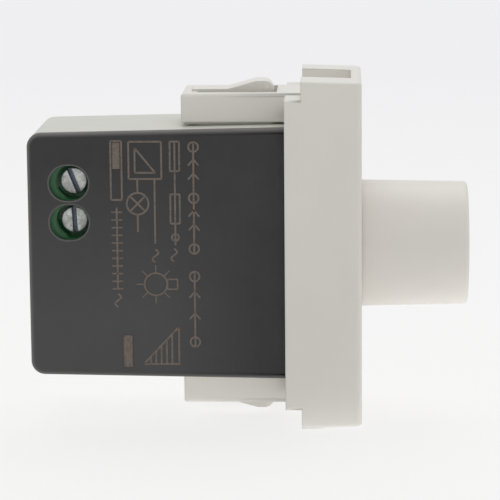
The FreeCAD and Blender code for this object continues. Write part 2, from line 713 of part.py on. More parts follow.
def terminal_pins():
    """A contact strip in each cage, seated in the block's walls, and its solder pin."""
    strips = []
    for name, z in poles():
        depth = ("contact_top", "contact_under")
        strips.append(join(
            "contact_" + name,
            block("strip_" + name, ("screw_place - cage_length / 2", "contact_front"), depth,
                  around(z, "cage_width - 2 * cage_wall - 2 * contact_fit")),
            block("strip_seat_" + name, ("screw_place + cage_length / 2 + cage_fit", "contact_front"),
                  depth, around(z, "2 * cage_side - 2 * contact_fit")),
            block("pin_" + name, ("contact_front - contact_thickness", "contact_front"),
                  ("contact_top", "board_far + pin_tail"), around(z, "pin_width")),
        ))
    pair = doc.addObject("Part::Compound", "pin_pair")
    pair.Links = strips
    node("terminal_pins", pair)


terminal_block()
for (name, z), angle in zip(poles(), ("slot_angle_upper", "slot_angle_lower")):
    terminal_screw(name, z, angle)
    terminal_cage(name, z)
terminal_pins()


# Main board, a forked circuit board on the far side of the case. Its two prongs reach
# past the potentiometer, and it stands on four posts of the case body.

def main_board():
    body = doc.addObject("PartDesign::Body", "board_body")
    profile = outline(body, "XZ_Plane", "board_profile", [
        ("board_rear", "-board_side"),
        ("board_tip", "-board_side"),
        ("board_tip", "-fork_side"),
        ("board_front", "-fork_side"),
        ("board_front", "fork_side"),
        ("board_tip", "fork_side"),
        ("board_tip", "board_side"),
        ("board_rear", "board_side"),
    ])
    profile.setExpression("AttachmentOffset.Base.z", formula("-board_far"))
    pad = body.newObject("PartDesign::Pad", "board_pad")
    pad.Profile = profile
    bind(pad, Length="board_thickness")
    body.Tip = pad
    holes = [rod("board_hole_" + name, "pin_width / 2 + board_hole_gap", "y",
                 through("board_face", "board_far"), x="contact_front - contact_thickness / 2", z=z)
             for name, z in poles()]
    node("main_board", cut("board_drilled", body, *holes))


main_board()


# Potentiometer. Its threaded bush is clamped in the case's front wall by washer and nut, and
# its can holds the track wafer and the rotor with the wiper, which the spindle's flat turns.

def potentiometer():
    plate = rod("bush_plate_disc", "wafer_radius", "x", ("bush_back", "inner_front"))
    barrel = rod("bush_barrel", "bush_radius", "x", ("bush_back", "bush_tip"))
    bore = rod("bush_bore", "spindle_radius + spindle_fit", "x", through("bush_back", "bush_tip"))
    node("potentiometer_bush", cut("bush", join("bush_solid", plate, barrel), bore))

    washer = rod("washer_disc", "washer_radius", "x", ("case_front", "nut_foot"))
    washer_hole = rod("washer_hole", "bush_radius + bush_hole_gap", "x", through("case_front", "nut_foot"))
    node("bush_washer", cut("washer", washer, washer_hole))

    nut = doc.addObject("Part::Prism", "nut_prism")
    nut.Polygon = 6
    bind(nut, Circumradius="nut_width / sqrt(3)", Height="nut_height")
    nut.Placement = FreeCAD.Placement(FreeCAD.Vector(), TURNS["x"])
    place(nut, "nut_foot")
    nut_hole = rod("nut_thread", "bush_radius + thread_fit", "x",
                   through("nut_foot", "nut_foot + nut_height"))
    node("bush_nut", cut("nut", nut, nut_hole))

    can = rod("can_outside", "can_radius", "x", ("can_rear", "can_rim"))
    can_room = rod("can_room", "can_inside", "x", ("can_rear + can_wall", "can_rim + past"))
    can_hole = rod("can_hole", "spindle_radius + rotor_gap", "x",
                   through("can_rear", "can_rear + can_wall"))
    can_slot = block("can_slot", ("track_back - seam_gap", "can_rim + past"),
                     around("0", "2 * (tab_row + seam_gap)"),
                     ("-can_radius - past", "can_wall - can_inside"))
    node("potentiometer_can", cut("can", can, can_room, can_hole, can_slot))

    wafer = rod("wafer_disc", "wafer_radius", "x", ("track_back", "bush_back"))
    tabs = [block("track_tab_" + name, around("(track_back + bush_back) / 2", "track_tab_thickness"),
                  around(f"{step} * track_tab_width", "track_tab_width"),
                  ("-can_radius - track_tab", "-can_inside + can_wall"))
            for name, step in (("near", -2), ("middle", 0), ("far", 2))]
    wafer_hole = rod("wafer_hole", "shoulder_room", "x", through("track_back", "bush_back"))
    node("resistive_track", cut("track", join("track_solid", wafer, *tabs), wafer_hole))


def wiper_rotor():
    hub = rod("rotor_hub_rod", "rotor_hub", "x", ("rotor_back", "rotor_front"))
    disc = rod("rotor_disc_rod", "rotor_radius", "x", ("rotor_front - rotor_disc", "rotor_front"))
    finger = block("wiper_finger", ("rotor_front - rotor_disc / 2", "track_back - can_fit"),
                   around("0", "track_tab_width"), ("rotor_hub", "rotor_radius - can_fit"))
    bore = with_flat("rotor_bore", "spindle_radius + spindle_fit", "spindle_flat + spindle_fit",
                     through("rotor_back", "rotor_front"))
    shoulder_well = rod("shoulder_well", "shoulder_room", "x",
                        ("shoulder_back - push_travel - rotor_shoulder_gap", "rotor_front + past"))
    node("wiper_rotor", cut("rotor", join("rotor_solid", hub, disc, finger), bore, shoulder_well))


def spindle():
    driver = with_flat("driver", "spindle_radius", "spindle_flat", ("spindle_end", "shoulder_back"))
    shoulder = rod("spindle_shoulder", "shoulder_radius", "x", ("shoulder_back", "shoulder_front"))
    middle = rod("spindle_middle", "spindle_radius", "x", ("shoulder_back", "boss_start"))
    nose = with_flat("nose", "spindle_radius", "spindle_flat", ("boss_start", "spindle_reach"))
    node("spindle", join("spindle_bar", driver, shoulder, middle, nose))


potentiometer()
wiper_rotor()
spindle()


# Push-push mains switch behind the potentiometer. The spindle's end presses the plunger in,
# and the return spring pushes plunger, spindle and knob out again.

def switch():
    box = block("switch_box", ("switch_rear", "can_rear"),
                around("0", "2 * (board_face + switch_overlap)"),
                around("0", "2 * (can_radius - switch_inset)"))
    chamber = rod("switch_chamber", "plunger_radius + spindle_fit", "x", ("chamber_rear", "can_rear + past"))
    node("switch_case", cut("switch_housing", box, chamber))
    piston = rod("piston", "plunger_radius", "x", ("plunger_back", "plunger_front"))
    tail = rod("plunger_tail_rod", "plunger_tail_radius", "x",
               ("plunger_back - plunger_tail", "plunger_back + sunk"))
    node("switch_plunger", join("plunger", piston, tail))
    tabs = [block("switch_tab_" + name, ("switch_rear - tab_length", "switch_rear"),
                  ("board_face - tab_thickness - seam_gap", "board_face - seam_gap"), around(z, "tab_width"))
            for name, z in (("upper", "-tab_start"), ("lower", "-tab_start - tab_spacing"))]
    pair = doc.addObject("Part::Compound", "switch_tab_pair")
    pair.Links = tabs
    node("switch_terminals", pair)


def return_spring():
    """A square wire swept along a helix between the chamber's end and the piston."""
    wire = size("spring_wire")
    length = number("plunger_back - chamber_rear") - 2 * wire - 2 * size("seam_gap")
    turns = size("spring_turns")
    radius = size("spring_radius")
    path = Part.makeHelix(length / turns, length, radius)
    start = path.Edges[0].Vertexes[0].Point
    tangent = path.Edges[0].tangentAt(path.Edges[0].FirstParameter)
    outward = FreeCAD.Vector(start.x, start.y, 0).normalize()
    across = tangent.cross(outward)
    corners = [start + outward * wire * a + across * wire * b
               for a, b in ((-1, -1), (1, -1), (1, 1), (-1, 1))]
    section = Part.makePolygon(corners + corners[:1])
    spring = doc.addObject("Part::Feature", "spring_coil")
    spring.Shape = Part.Wire(path.Edges).makePipeShell([section], True, True)
    spring.Placement = FreeCAD.Placement(FreeCAD.Vector(), TURNS["x"])
    place(spring, "chamber_rear + spring_wire + seam_gap")
    node("return_spring", spring)


switch()
return_spring()


# Knob, a hollow moulding with a boss on the spindle's flat and ribs from boss to shell.

def knob():
    body = doc.addObject("PartDesign::Body", "knob_body")
    corner = "knob_round * (1 - cos(45 deg))"
    profile = outline(body, "XZ_Plane", "knob_profile", [
        ("-knob_skirt", "knob_inside"),
        ("-knob_skirt", "knob_radius"),
        ("knob_reach - knob_round", "knob_tip_radius"),
        ("knob_reach - " + corner, "knob_tip_radius - " + corner),
        ("knob_reach", "knob_tip_radius - knob_round"),
        ("knob_reach", "0"),
        ("knob_reach - knob_end", "0"),
        ("knob_reach - knob_end", "knob_inside"),
    ])
    turned = body.newObject("PartDesign::Revolution", "knob_turned")
    turned.Profile = profile
    turned.ReferenceAxis = (profile, ["H_Axis"])
    turned.Angle = 360
    body.Tip = turned
    boss = rod("knob_boss", "knob_boss_radius", "x", ("boss_start", "knob_reach - knob_end / 2"))
    bars = []
    half_length = "(knob_inside + sunk)"
    for degrees in (0, 60, 120):
        bar = block(f"knob_bar_{degrees}", ("boss_start", "knob_reach - knob_end / 2"),
                    around("0", "knob_rib"), around("0", "2 * " + half_length))
        bar.Placement.Rotation = FreeCAD.Rotation(FreeCAD.Vector(1, 0, 0), degrees)
        place(bar, "boss_start", f"sin({degrees} deg) * {half_length} - cos({degrees} deg) * knob_rib / 2",
              f"-cos({degrees} deg) * {half_length} - sin({degrees} deg) * knob_rib / 2")
        bars.append(bar)
    bore = with_flat("knob_bore", "spindle_radius + knob_fit", "spindle_flat + knob_fit",
                     ("boss_start - past", "spindle_reach + knob_fit"))
    node("knob", cut("knob_moulding", join("knob_solid", body, boss, *bars), bore))


knob()


# Parts on the board, each standing on its face towards the cover.

def standing(name, x, height, z):
    """A block that stands on the board."""
    return block(name, x, (f"board_face - ({height})", "board_face"), z)


def choke():
    """A ferrite frame that stands on the board, and a winding round its middle limb."""
    middle = "choke_low + choke_width / 2"
    ends = ("block_rear + choke_yoke", "block_front - choke_yoke")

    def layer(name, x, step):
        """A block in the middle of the choke, a step inside the outside of the winding."""
        return block(name, x, (f"choke_top + {step}", f"board_face - {step}"),
                     around(middle, f"choke_width - 2 * (choke_yoke + winding_room + {step})"))

    outside = standing("core_outside", ("block_rear", "block_front"), "choke_height",
                       ("choke_low", "choke_low + choke_width"))
    room = block("core_room", ends, through("choke_top", "board_face"),
                 around(middle, "choke_width - 2 * choke_yoke"))
    limb = layer("core_limb", ("block_rear + choke_yoke / 2", "block_front - choke_yoke / 2"),
                 "(winding_width + winding_fit)")
    node("choke_core", join("core", cut("core_frame", outside, room), limb))
    coil = layer("coil", (ends[0] + " + winding_room", ends[1] + " - winding_room"), "0")
    node("choke_winding", cut("winding", coil, layer("coil_hole", ends, "winding_width")))


def board_parts():
    node("film_capacitor", standing("film_box", ("fork_row", "fork_row + film_length"), "tall_part",
                                    ("board_side - edge_gap - film_width", "board_side - edge_gap")))
    node("smoothing_capacitor", rod("smoothing_can", "smoothing_radius", "y",
                                    ("board_face - tall_part", "board_face"),
                                    x="row_start + smoothing_radius", z="smoothing_z"))
    node("fuse", rod("fuse_tube", "fuse_radius", "x",
                     ("board_rear + part_gap", "board_rear + part_gap + fuse_length"),
                     y="board_face - fuse_radius", z="board_side - edge_gap - fuse_radius"))
    node("control_chip", standing("chip_box", ("row_start", "row_start + chip_length"), "chip_height",
                                  ("chip_low", "chip_low + chip_width")))


def varistor():
    """A disc that stands on its edge on two leads."""
    middle = "row_start + varistor_radius"
    depth = ("varistor_low", "varistor_low + varistor_thickness")
    disc = rod("varistor_disc", "varistor_radius", "z", depth, x=middle, y="lead_top - varistor_radius")
    leads = [standing("varistor_lead_" + side, around(f"{middle} {sign} varistor_radius / 2", "lead_width"),
                      "lead_length + varistor_radius / 2",
                      around("varistor_low + varistor_thickness / 2", "lead_width"))
             for side, sign in (("rear", "-"), ("front", "+"))]
    node("varistor", join("varistor_whole", disc, *leads))


def power_stage():
    node("heat_plate", standing("plate", ("fork_row", "fork_row + plate_length"), "tall_part",
                                ("plate_face - plate_thickness", "plate_face")))
    for name, step in (("1", "0"), ("2", "transistor_spacing")):
        middle = f"fork_row + part_gap + {step} + transistor_width / 2"
        case = block("transistor_case_" + name, around(middle, "transistor_width"),
                     ("lead_top - transistor_height", "lead_top"),
                     ("plate_face", "plate_face + transistor_thickness"))
        legs = []
        for leg, place_along in (("left", "-1"), ("middle", "0"), ("right", "1")):
            along = around(f"{middle} + {place_along} * leg_spacing", "lead_width")
            across = around("plate_face + transistor_thickness / 2", "lead_width")
            legs.append(standing(f"transistor_leg_{name}_{leg}", along, "lead_length + lead_width", across))
        node("transistor_" + name, join("transistor_whole_" + name, case, *legs))


choke()
board_parts()
varistor()
power_stage()


# Every feature has to be sound before a file is written.

doc.recompute()
failed = [thing.Name for thing in doc.Objects if "Invalid" in thing.State or "Error" in thing.State]
for name, thing in NODES.items():
    shape = thing.Shape
    if shape.isNull() or not shape.isValid() or not shape.Solids:
        failed.append(name)
if failed:
    raise RuntimeError("features that failed: " + ", ".join(failed))

os.makedirs("parts", exist_ok=True)
for name, thing in NODES.items():
    thing.Shape.exportStep(f"parts/{name}.step")
    print(f"{name}: {len(thing.Shape.Solids)} solids, {thing.Shape.Volume:.1f} mm3")
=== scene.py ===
import bmesh
import bpy
import numpy as np
from mathutils import Matrix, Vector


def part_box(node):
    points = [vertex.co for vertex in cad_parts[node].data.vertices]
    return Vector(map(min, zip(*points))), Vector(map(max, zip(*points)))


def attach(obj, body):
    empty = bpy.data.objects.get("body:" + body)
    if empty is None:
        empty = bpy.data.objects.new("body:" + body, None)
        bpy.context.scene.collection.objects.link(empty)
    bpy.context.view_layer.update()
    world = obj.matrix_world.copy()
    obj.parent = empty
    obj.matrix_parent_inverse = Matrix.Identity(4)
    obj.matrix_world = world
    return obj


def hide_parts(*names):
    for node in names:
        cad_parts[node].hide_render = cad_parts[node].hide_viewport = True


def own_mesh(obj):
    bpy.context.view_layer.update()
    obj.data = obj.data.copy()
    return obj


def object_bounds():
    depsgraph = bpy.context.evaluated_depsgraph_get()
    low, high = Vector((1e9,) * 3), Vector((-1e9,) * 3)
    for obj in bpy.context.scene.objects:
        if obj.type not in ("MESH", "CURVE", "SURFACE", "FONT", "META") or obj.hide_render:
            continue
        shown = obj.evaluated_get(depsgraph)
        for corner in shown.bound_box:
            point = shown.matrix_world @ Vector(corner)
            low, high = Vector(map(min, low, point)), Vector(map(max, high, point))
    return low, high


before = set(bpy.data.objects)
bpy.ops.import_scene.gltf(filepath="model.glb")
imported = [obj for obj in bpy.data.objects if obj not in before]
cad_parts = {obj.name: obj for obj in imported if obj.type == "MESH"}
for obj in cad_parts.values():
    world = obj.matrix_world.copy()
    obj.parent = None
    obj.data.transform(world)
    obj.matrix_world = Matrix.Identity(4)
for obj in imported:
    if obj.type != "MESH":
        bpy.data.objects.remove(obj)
cad_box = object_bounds()


# Circuit board: glass fibre laminate under green solder mask, its sawn edges bare and tan. Wide
# copper tracks show through the mask, and the leads are soldered on the far side.

MM = 0.001
BOARD_GREEN, LAMINATE, TRACK_GREEN = (34, 84, 48), (176, 160, 104), (66, 122, 74)
SOLDER = (176, 178, 180)
WEAVE_SCALE = 420.0
TRACK_THICKNESS, TRACK_BEND = 0.07, 0.4
JOINT_HEIGHT, JOINT_TOP, JOINT_FLARE = 0.62, 0.32, 0.4
PIN_HALF, LEG_STEPS, CHOKE_PIN_INSET = 0.3, (-2.3, 0, 2.3), 1.2
VARISTOR_SPOTS = [(-30.3, 10.1), (-26.3, 10.1)]
FILM_SPOTS = [(-22.5, 11.5), (-16.5, 11.5)]
SMOOTHING_SPOTS = [(-28.9, 4.9), (-28.9, 6.9)]


def paint(red, green, blue):
    """A colour read as 0 to 255 on screen, as the linear values that a shader takes."""
    shown = np.array([red, green, blue]) / 255
    linear = np.where(shown <= 0.04045, shown / 12.92, ((shown + 0.055) / 1.055) ** 2.4)
    return (*linear.tolist(), 1.0)


def shade(colour, share):
    """A screen colour made darker, or lighter above 1."""
    return tuple(min(value * share, 255) for value in colour)


class Finish:
    """A procedural material under construction. Patterns read the piece's Object coordinates."""

    def __init__(self, name, **sockets):
        """Uniform numbers go onto the shader's own sockets."""
        self.material = bpy.data.materials.new(name)
        self.material.use_nodes = True
        self.tree = self.material.node_tree
        self.shader = self.tree.nodes["Principled BSDF"]
        for socket, value in sockets.items():
            self.shader.inputs[socket.replace("_", " ")].default_value = value

    def feed(self, socket, value):
        """A link into a socket where value is an output, or else its plain value."""
        if isinstance(value, bpy.types.NodeSocket):
            self.tree.links.new(value, socket)
        else:
            socket.default_value = value

    def node(self, kind, settings=None, **inputs):
        """A new node with its settings and inputs, an underscore for each space in their names."""
        made = self.tree.nodes.new("ShaderNode" + kind)
        for key, value in (settings or {}).items():
            setattr(made, key, value)
        for key, value in inputs.items():
            self.feed(made.inputs[key.replace("_", " ")], value)
        return made

    def place(self, stretch=(1, 1, 1), centre=(0, 0, 0)):
        """Object coordinates measured from a centre and stretched."""
        moved = self.node("VectorMath", {"operation": "SUBTRACT"})
        self.feed(moved.inputs[0], self.node("TexCoord").outputs["Object"])
        self.feed(moved.inputs[1], centre)
        return self.node("Mapping", Vector=moved.outputs["Vector"], Scale=stretch).outputs["Vector"]

    def along(self, axis, centre=(0, 0, 0)):
        """Where a point lies along one axis, measured from a centre, in metres."""
        return self.node("SeparateXYZ", Vector=self.place(centre=centre)).outputs[axis]

    def distance(self, axis, centre=(0, 0, 0)):
        """How far a point lies from a centre along one axis, in metres."""
        size = self.node("Math", {"operation": "ABSOLUTE"})
        self.feed(size.inputs[0], self.along(axis, centre))
        return size.outputs[0]

    def product(self, first, second):
        """Two values multiplied."""
        both = self.node("Math", {"operation": "MULTIPLY"})
        self.feed(both.inputs[0], first)
        self.feed(both.inputs[1], second)
        return both.outputs[0]

    def noise(self, size, detail=2.0, roughness=0.5, stretch=(1, 1, 1)):
        """Noise whose features are about size metres across."""
        return self.node("TexNoise", Vector=self.place(stretch), Scale=1 / size, Detail=detail,
                         Roughness=roughness).outputs["Fac"]

    def spread(self, value, low, high, start=0.3, end=0.7):
        """A value between start and end spread over low to high."""
        return self.node("MapRange", Value=value, From_Min=start, From_Max=end, To_Min=low,
                         To_Max=high).outputs["Result"]

    def blend(self, share, first, second):
        """Two screen colours or sockets mixed by a share."""
        mix = self.node("Mix", {"data_type": "RGBA"})
        self.feed(mix.inputs[0], share)
        self.feed(mix.inputs[6], paint(*first) if isinstance(first, tuple) else first)
        self.feed(mix.inputs[7], paint(*second) if isinstance(second, tuple) else second)
        return mix.outputs[2]

    def soft_edges(self, radius):
        """Normals that round the edges of a solid by a radius in metres."""
        return self.node("Bevel", {"samples": 4}, Radius=radius).outputs["Normal"]

    def relief(self, height, depth, normal=None):
        """Bump from a height of 0 to 1 that stands for a depth in metres."""
        bump = self.node("Bump", Height=height, Distance=depth)
        if normal is not None:
            self.feed(bump.inputs["Normal"], normal)
        return bump.outputs["Normal"]

    def wear(self, colour, roughness, normal):
        """The finished colour, roughness and normal on the shader."""
        self.feed(self.shader.inputs["Base Color"], colour)
        self.feed(self.shader.inputs["Roughness"], roughness)
        self.feed(self.shader.inputs["Normal"], normal)
        return self.material


def metal(name, colour, gloss, streak=(1, 1, 1), size=0.0004, depth=0.000003, edge=0.00008):
    """Plated or drawn metal: a mottled plating with fine marks that run where the tool ran."""
    finish = Finish(name, Metallic=1.0)
    marks = finish.noise(size, detail=5.0, roughness=0.65, stretch=streak)
    cloud = finish.noise(size * 5, detail=3.0)
    tint = finish.blend(finish.spread(cloud, 0, 1), shade(colour, 0.84), shade(colour, 1.06))
    rough = finish.spread(marks, gloss - 0.1, gloss + 0.16)
    return finish.wear(tint, rough, finish.relief(marks, depth, finish.soft_edges(edge)))


def laminate(name, edge=0.00002):
    """Solder mask over a glass weave on the board's two faces, and bare laminate at its edges."""
    low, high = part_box("main_board")
    finish = Finish(name)
    middle = ((low + high) / 2)[:]
    warp, weft = (finish.node("TexWave", {"bands_direction": way}, Vector=finish.place(), Scale=WEAVE_SCALE,
                              Distortion=1.5, Detail=2.0).outputs["Fac"] for way in "XZ")
    cloth = finish.product(warp, weft)
    mask = finish.blend(cloth, shade(BOARD_GREEN, 0.92), shade(BOARD_GREEN, 1.12))
    half = (high.y - low.y) / 2
    masked = finish.spread(finish.distance("Y", middle), 0, 1, half - 3 * edge, half - edge)
    rough = finish.spread(finish.noise(0.0015, detail=3.0), 0.28, 0.45)
    return finish.wear(finish.blend(masked, LAMINATE, mask), rough, finish.relief(cloth, 0.000008))


def dress(material, *nodes):
    """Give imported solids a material."""
    for name in nodes:
        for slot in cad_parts[name].material_slots:
            slot.material = material


def span(node):
    """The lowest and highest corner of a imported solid, in millimetres."""
    low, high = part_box(node)
    return np.array(low) / MM, np.array(high) / MM


def show(name, mesh, material, body, slot, *replaced):
    """Put a finished mesh into the scene as a piece that rides on a body."""
    piece = bpy.data.objects.new(name, mesh)
    bpy.context.scene.collection.objects.link(piece)
    mesh.materials.clear()
    mesh.materials.append(material)
    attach(piece, body)
    if replaced:
        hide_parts(*replaced)
    return piece


def surface(name, *grids, merge=0.0005, sharp=35):
    """A mesh from grids of points in millimetres, rows by columns. Points that fall together are
    merged, so that seams and poles close, faces are turned outwards, and edges that turn by more
    than sharp degrees stay sharp."""
    corners, quads, count = [], [], 0
    for grid in grids:
        rows, columns = grid.shape[:2]
        index = count + np.arange(rows * columns).reshape(rows, columns)
        corner_sets = [index[:-1, :-1], index[1:, :-1], index[1:, 1:], index[:-1, 1:]]
        quads.append(np.stack(corner_sets, -1).reshape(-1, 4))
        corners.append(grid.reshape(-1, 3))
        count += rows * columns
    mesh = bpy.data.meshes.new(name)
    mesh.from_pydata((np.concatenate(corners) * MM).tolist(), [], np.concatenate(quads).tolist())
    work = bmesh.new()
    work.from_mesh(mesh)
    bmesh.ops.remove_doubles(work, verts=work.verts, dist=merge * MM)
    bmesh.ops.dissolve_degenerate(work, dist=merge * MM / 10, edges=work.edges)
    bmesh.ops.recalc_face_normals(work, faces=work.faces)
    work.to_mesh(mesh)
    work.free()
    mesh.shade_smooth()
    mesh.set_sharp_from_angle(angle=np.radians(sharp))
    return mesh


def circle(radius, count):
    """A round section, closed, for swept wires."""
    t = np.linspace(0, 2 * np.pi, count + 1)
    return radius * np.stack([np.cos(t), np.sin(t)], -1)


def oblong(width, height):
    """A rectangular section, closed, whose corners are taken off by a tenth of its height."""
    a, b, c = width / 2, height / 2, height / 10
    return np.array([(a, -b + c), (a, b - c), (a - c, b), (c - a, b), (-a, b - c), (-a, c - b), (c - a, -b),
                     (a - c, -b), (a, -b + c)])


def swept(path, section, across):
    """A section carried along a path: (u, v) goes to path + u side + v lift, where side is the
    direction across, made square to the path, and lift is square to both. A point closes each end."""
    path = np.asarray(path, float)
    along = np.gradient(path, axis=0)
    along /= np.linalg.norm(along, axis=1, keepdims=True)
    side = across - along * (along @ np.asarray(across, float))[:, None]
    side /= np.linalg.norm(side, axis=1, keepdims=True)
    lift = np.cross(along, side)
    rings = path[:, None] + section[:, :1] * side[:, None] + section[:, 1:] * lift[:, None]
    ends = [np.broadcast_to(point, rings[:1].shape) for point in (path[0], path[-1])]
    return np.concatenate([ends[0], rings, ends[1]])


def bent(corners, ease, steps=5):
    """A path through corners. Each bend is a parabola that starts and ends ease away from it."""
    corners = np.asarray(corners, float)
    at = corners[1:-1]
    first, last = (at + ease * way / np.linalg.norm(way, axis=1, keepdims=True)
                   for way in (corners[:-2] - at, corners[2:] - at))
    t = np.linspace(0, 1, steps)[:, None]
    bends = (1 - t) ** 2 * first[:, None] + 2 * t * (1 - t) * at[:, None] + t ** 2 * last[:, None]
    return np.concatenate([corners[:1], bends.reshape(-1, 3), corners[-1:]])


def turned(along, r, axis="x", centre=(0, 0, 0), count=64):
    """Radii r at places along an axis, turned round it: (along, r) goes to (along, r cos t, r sin t).
    r may also hold a radius for each t, in columns."""
    t = np.linspace(0, 2 * np.pi, count + 1)
    along, r = np.asarray(along, float)[:, None], np.asarray(r, float)
    r = r[:, None] if r.ndim == 1 else r
    points = np.stack(np.broadcast_arrays(along, r * np.cos(t), r * np.sin(t)), -1)
    return np.roll(points, "xyz".index(axis), axis=-1) + centre


dress(laminate("circuit_board"), "main_board")

board_low, board_high = span("main_board")
face, far = board_low[1], board_high[1]
pin_x = span("terminal_pins")[1][0] - PIN_HALF
pin_z = [span(f"terminal_screw_{n}")[0][2] / 2 + span(f"terminal_screw_{n}")[1][2] / 2 for n in (1, 2)]
choke_low, choke_high = span("choke_core")
transistors = [(span(name)[0] + span(name)[1]) / 2 for name in ("transistor_1", "transistor_2")]
leg_spots = [(middle[0] + step, middle[2]) for middle in transistors for step in LEG_STEPS]
choke_spots = [(choke_high[0] - CHOKE_PIN_INSET, choke_low[2] + CHOKE_PIN_INSET),
               (choke_high[0] - CHOKE_PIN_INSET, choke_high[2] - CHOKE_PIN_INSET),
               (choke_low[0] + CHOKE_PIN_INSET, choke_high[2] - CHOKE_PIN_INSET)]

# Each track's width, and its corners (x, z) on the board's near face.
tracks = [
    (1.6, [(pin_x, pin_z[0]), (pin_x, 13.0), (-38.6, 13.0)]),
    (1.6, [(-35.6, 13.0), (-29.8, 13.0), (-29.8, 7.4)]),
    (1.8, [(pin_x, pin_z[1]), (pin_x, -2.0), (-40.0, -2.0), choke_spots[2]]),
    (1.8, [choke_spots[1], (-28.6, choke_spots[1][1]), (-28.6, -8.6), (leg_spots[0][0], -8.6),
           leg_spots[0]]),
    (1.2, [choke_spots[0], (-27.4, choke_spots[0][1]), (-27.4, -13.2), (-9.0, -13.2), (-9.0, -9.6)]),
    (0.6, [(-30.2, 4.4), (-30.2, 7.0), (-25.4, 7.0), (-25.4, 12.6), (-16.0, 12.6)]),
    (0.5, [(-29.0, -1.6), (-29.0, -3.4), (-25.6, -3.4), (-25.6, -7.6), (leg_spots[3][0], -7.6),
           leg_spots[3]]),
]
strips = [swept(bent([(x, face, z) for x, z in route], TRACK_BEND, 4), oblong(TRACK_THICKNESS, width),
                (0, 1, 0)) for width, route in tracks]
copper = Finish("track_green")
copper.wear(copper.blend(copper.spread(copper.noise(0.002), 0, 1), shade(TRACK_GREEN, 0.94), TRACK_GREEN),
            copper.spread(copper.noise(0.0008, detail=3.0), 0.25, 0.4),
            copper.relief(copper.noise(0.0003), 0.000004))
show("board_tracks", surface("board_tracks", *strips), copper.material, "housing", "circuit_board")

rise = np.linspace(0, 1, 7)
joint_y = np.concatenate([[far - 0.05], far + JOINT_HEIGHT * rise, [far + JOINT_HEIGHT]])
joint_r = np.concatenate([[0], JOINT_TOP + JOINT_FLARE * (1 - rise) ** 2, [0]])
spots = [(pin_x, z) for z in pin_z] + leg_spots + choke_spots + VARISTOR_SPOTS + FILM_SPOTS + SMOOTHING_SPOTS
joints = [turned(joint_y, joint_r, "y", (x, 0, z), 20) for x, z in spots]
solder = metal("solder", SOLDER, 0.3, size=0.0009, depth=0.000006)
show("solder_joints", surface("solder_joints", *joints), solder, "housing", "tinned_brass")


# Terminal block: moulded in green polyamide with a slight gloss. Each pole has a round well for
# its screw, a chamber for its cage of plated steel sheet, and a tinned contact strip and pin.

BLOCK_GREEN = (54, 118, 74)
PLATED = (176, 176, 172)
TINNED = (198, 192, 168)


def moulded(name, colour, gloss, grain=0.00012, depth=0.000004, drift=0.05, edge=0.00015):
    """Moulded plastic: its colour drifts a little over centimetres, as pigment does in a mould,
    and an etched grain of small pits breaks up the gloss. gloss is its mean roughness, and edge the
    radius in metres of its rounded edges."""
    finish = Finish(name)
    cloud = finish.noise(0.011, detail=3.0)
    pits = finish.noise(grain, detail=3.0, roughness=0.6)
    tint = finish.blend(finish.spread(cloud, 0, 1), shade(colour, 1 - drift / 2),
                        shade(colour, 1 + drift / 2))
    tint = finish.blend(finish.spread(pits, 0.0, 0.35), tint, shade(colour, 0.97))
    rough = finish.spread(finish.noise(0.0012, detail=4.0), gloss - 0.05, gloss + 0.06)
    return finish.wear(tint, rough, finish.relief(pits, depth, finish.soft_edges(edge)))


def show_copy(node, material, body, slot, sharp=32):
    """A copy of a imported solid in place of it. Its loose triangles are merged and its flat faces made
    whole, so that roundings shade smoothly, and its normals are weighted by area, which keeps flats flat."""
    name = node + "_surface"
    work = bmesh.new()
    work.from_mesh(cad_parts[node].data)
    bmesh.ops.remove_doubles(work, verts=work.verts, dist=0.0005 * MM)
    bmesh.ops.dissolve_limit(work, angle_limit=np.radians(0.5), verts=work.verts, edges=work.edges)
    mesh = bpy.data.meshes.new(name)
    work.to_mesh(mesh)
    work.free()
    mesh.shade_smooth()
    mesh.set_sharp_from_angle(angle=np.radians(sharp))
    piece = show(name, mesh, material, body, slot, node)
    flats = piece.modifiers.new("flats", "WEIGHTED_NORMAL")
    flats.keep_sharp = True


terminal_green = moulded("terminal_green", BLOCK_GREEN, 0.3, grain=0.0003, depth=0.000006, drift=0.1,
                         edge=0.0001)
show_copy("terminal_block", terminal_green, "housing", "terminal_green")
cage_steel = metal("cage_steel", PLATED, 0.38, streak=(1, 6, 1))
for pole in (1, 2):
    show_copy(f"terminal_cage_{pole}", cage_steel, f"cage_{pole}", "cage_steel")
tinned_brass = metal("tinned_brass", TINNED, 0.32, size=0.0007)
show_copy("terminal_pins", tinned_brass, "housing", "tinned_brass")


# Terminal screws: turned steel, zinc plated, with a slotted cheese head that screwdrivers have
# scuffed and a rolled M2.5 thread. Each one hangs in the block by its head.

ZINC = (244, 246, 245)
SLOT_PAINTED_SHADE = (112, 122, 136)
SLOT_WIDTH, SLOT_DEPTH, HEAD_HEIGHT, HEAD_ROUND = 0.52, 0.7, 1.4, 0.12
SHANK_RADIUS, THREAD_PITCH, THREAD_DEPTH = 1.25, 0.45, 0.22
SLOT_ANGLES = {1: 68.5, 2: 87.0}


def thread(along, radius, pitch, depth, count):
    """Radii of a screw thread: the groove's depth is a zigzag of along / pitch - t / one turn."""
    t = np.linspace(0, 1, count + 1)
    return radius - depth * np.abs((along[:, None] / pitch - t) % 1 * 2 - 1)


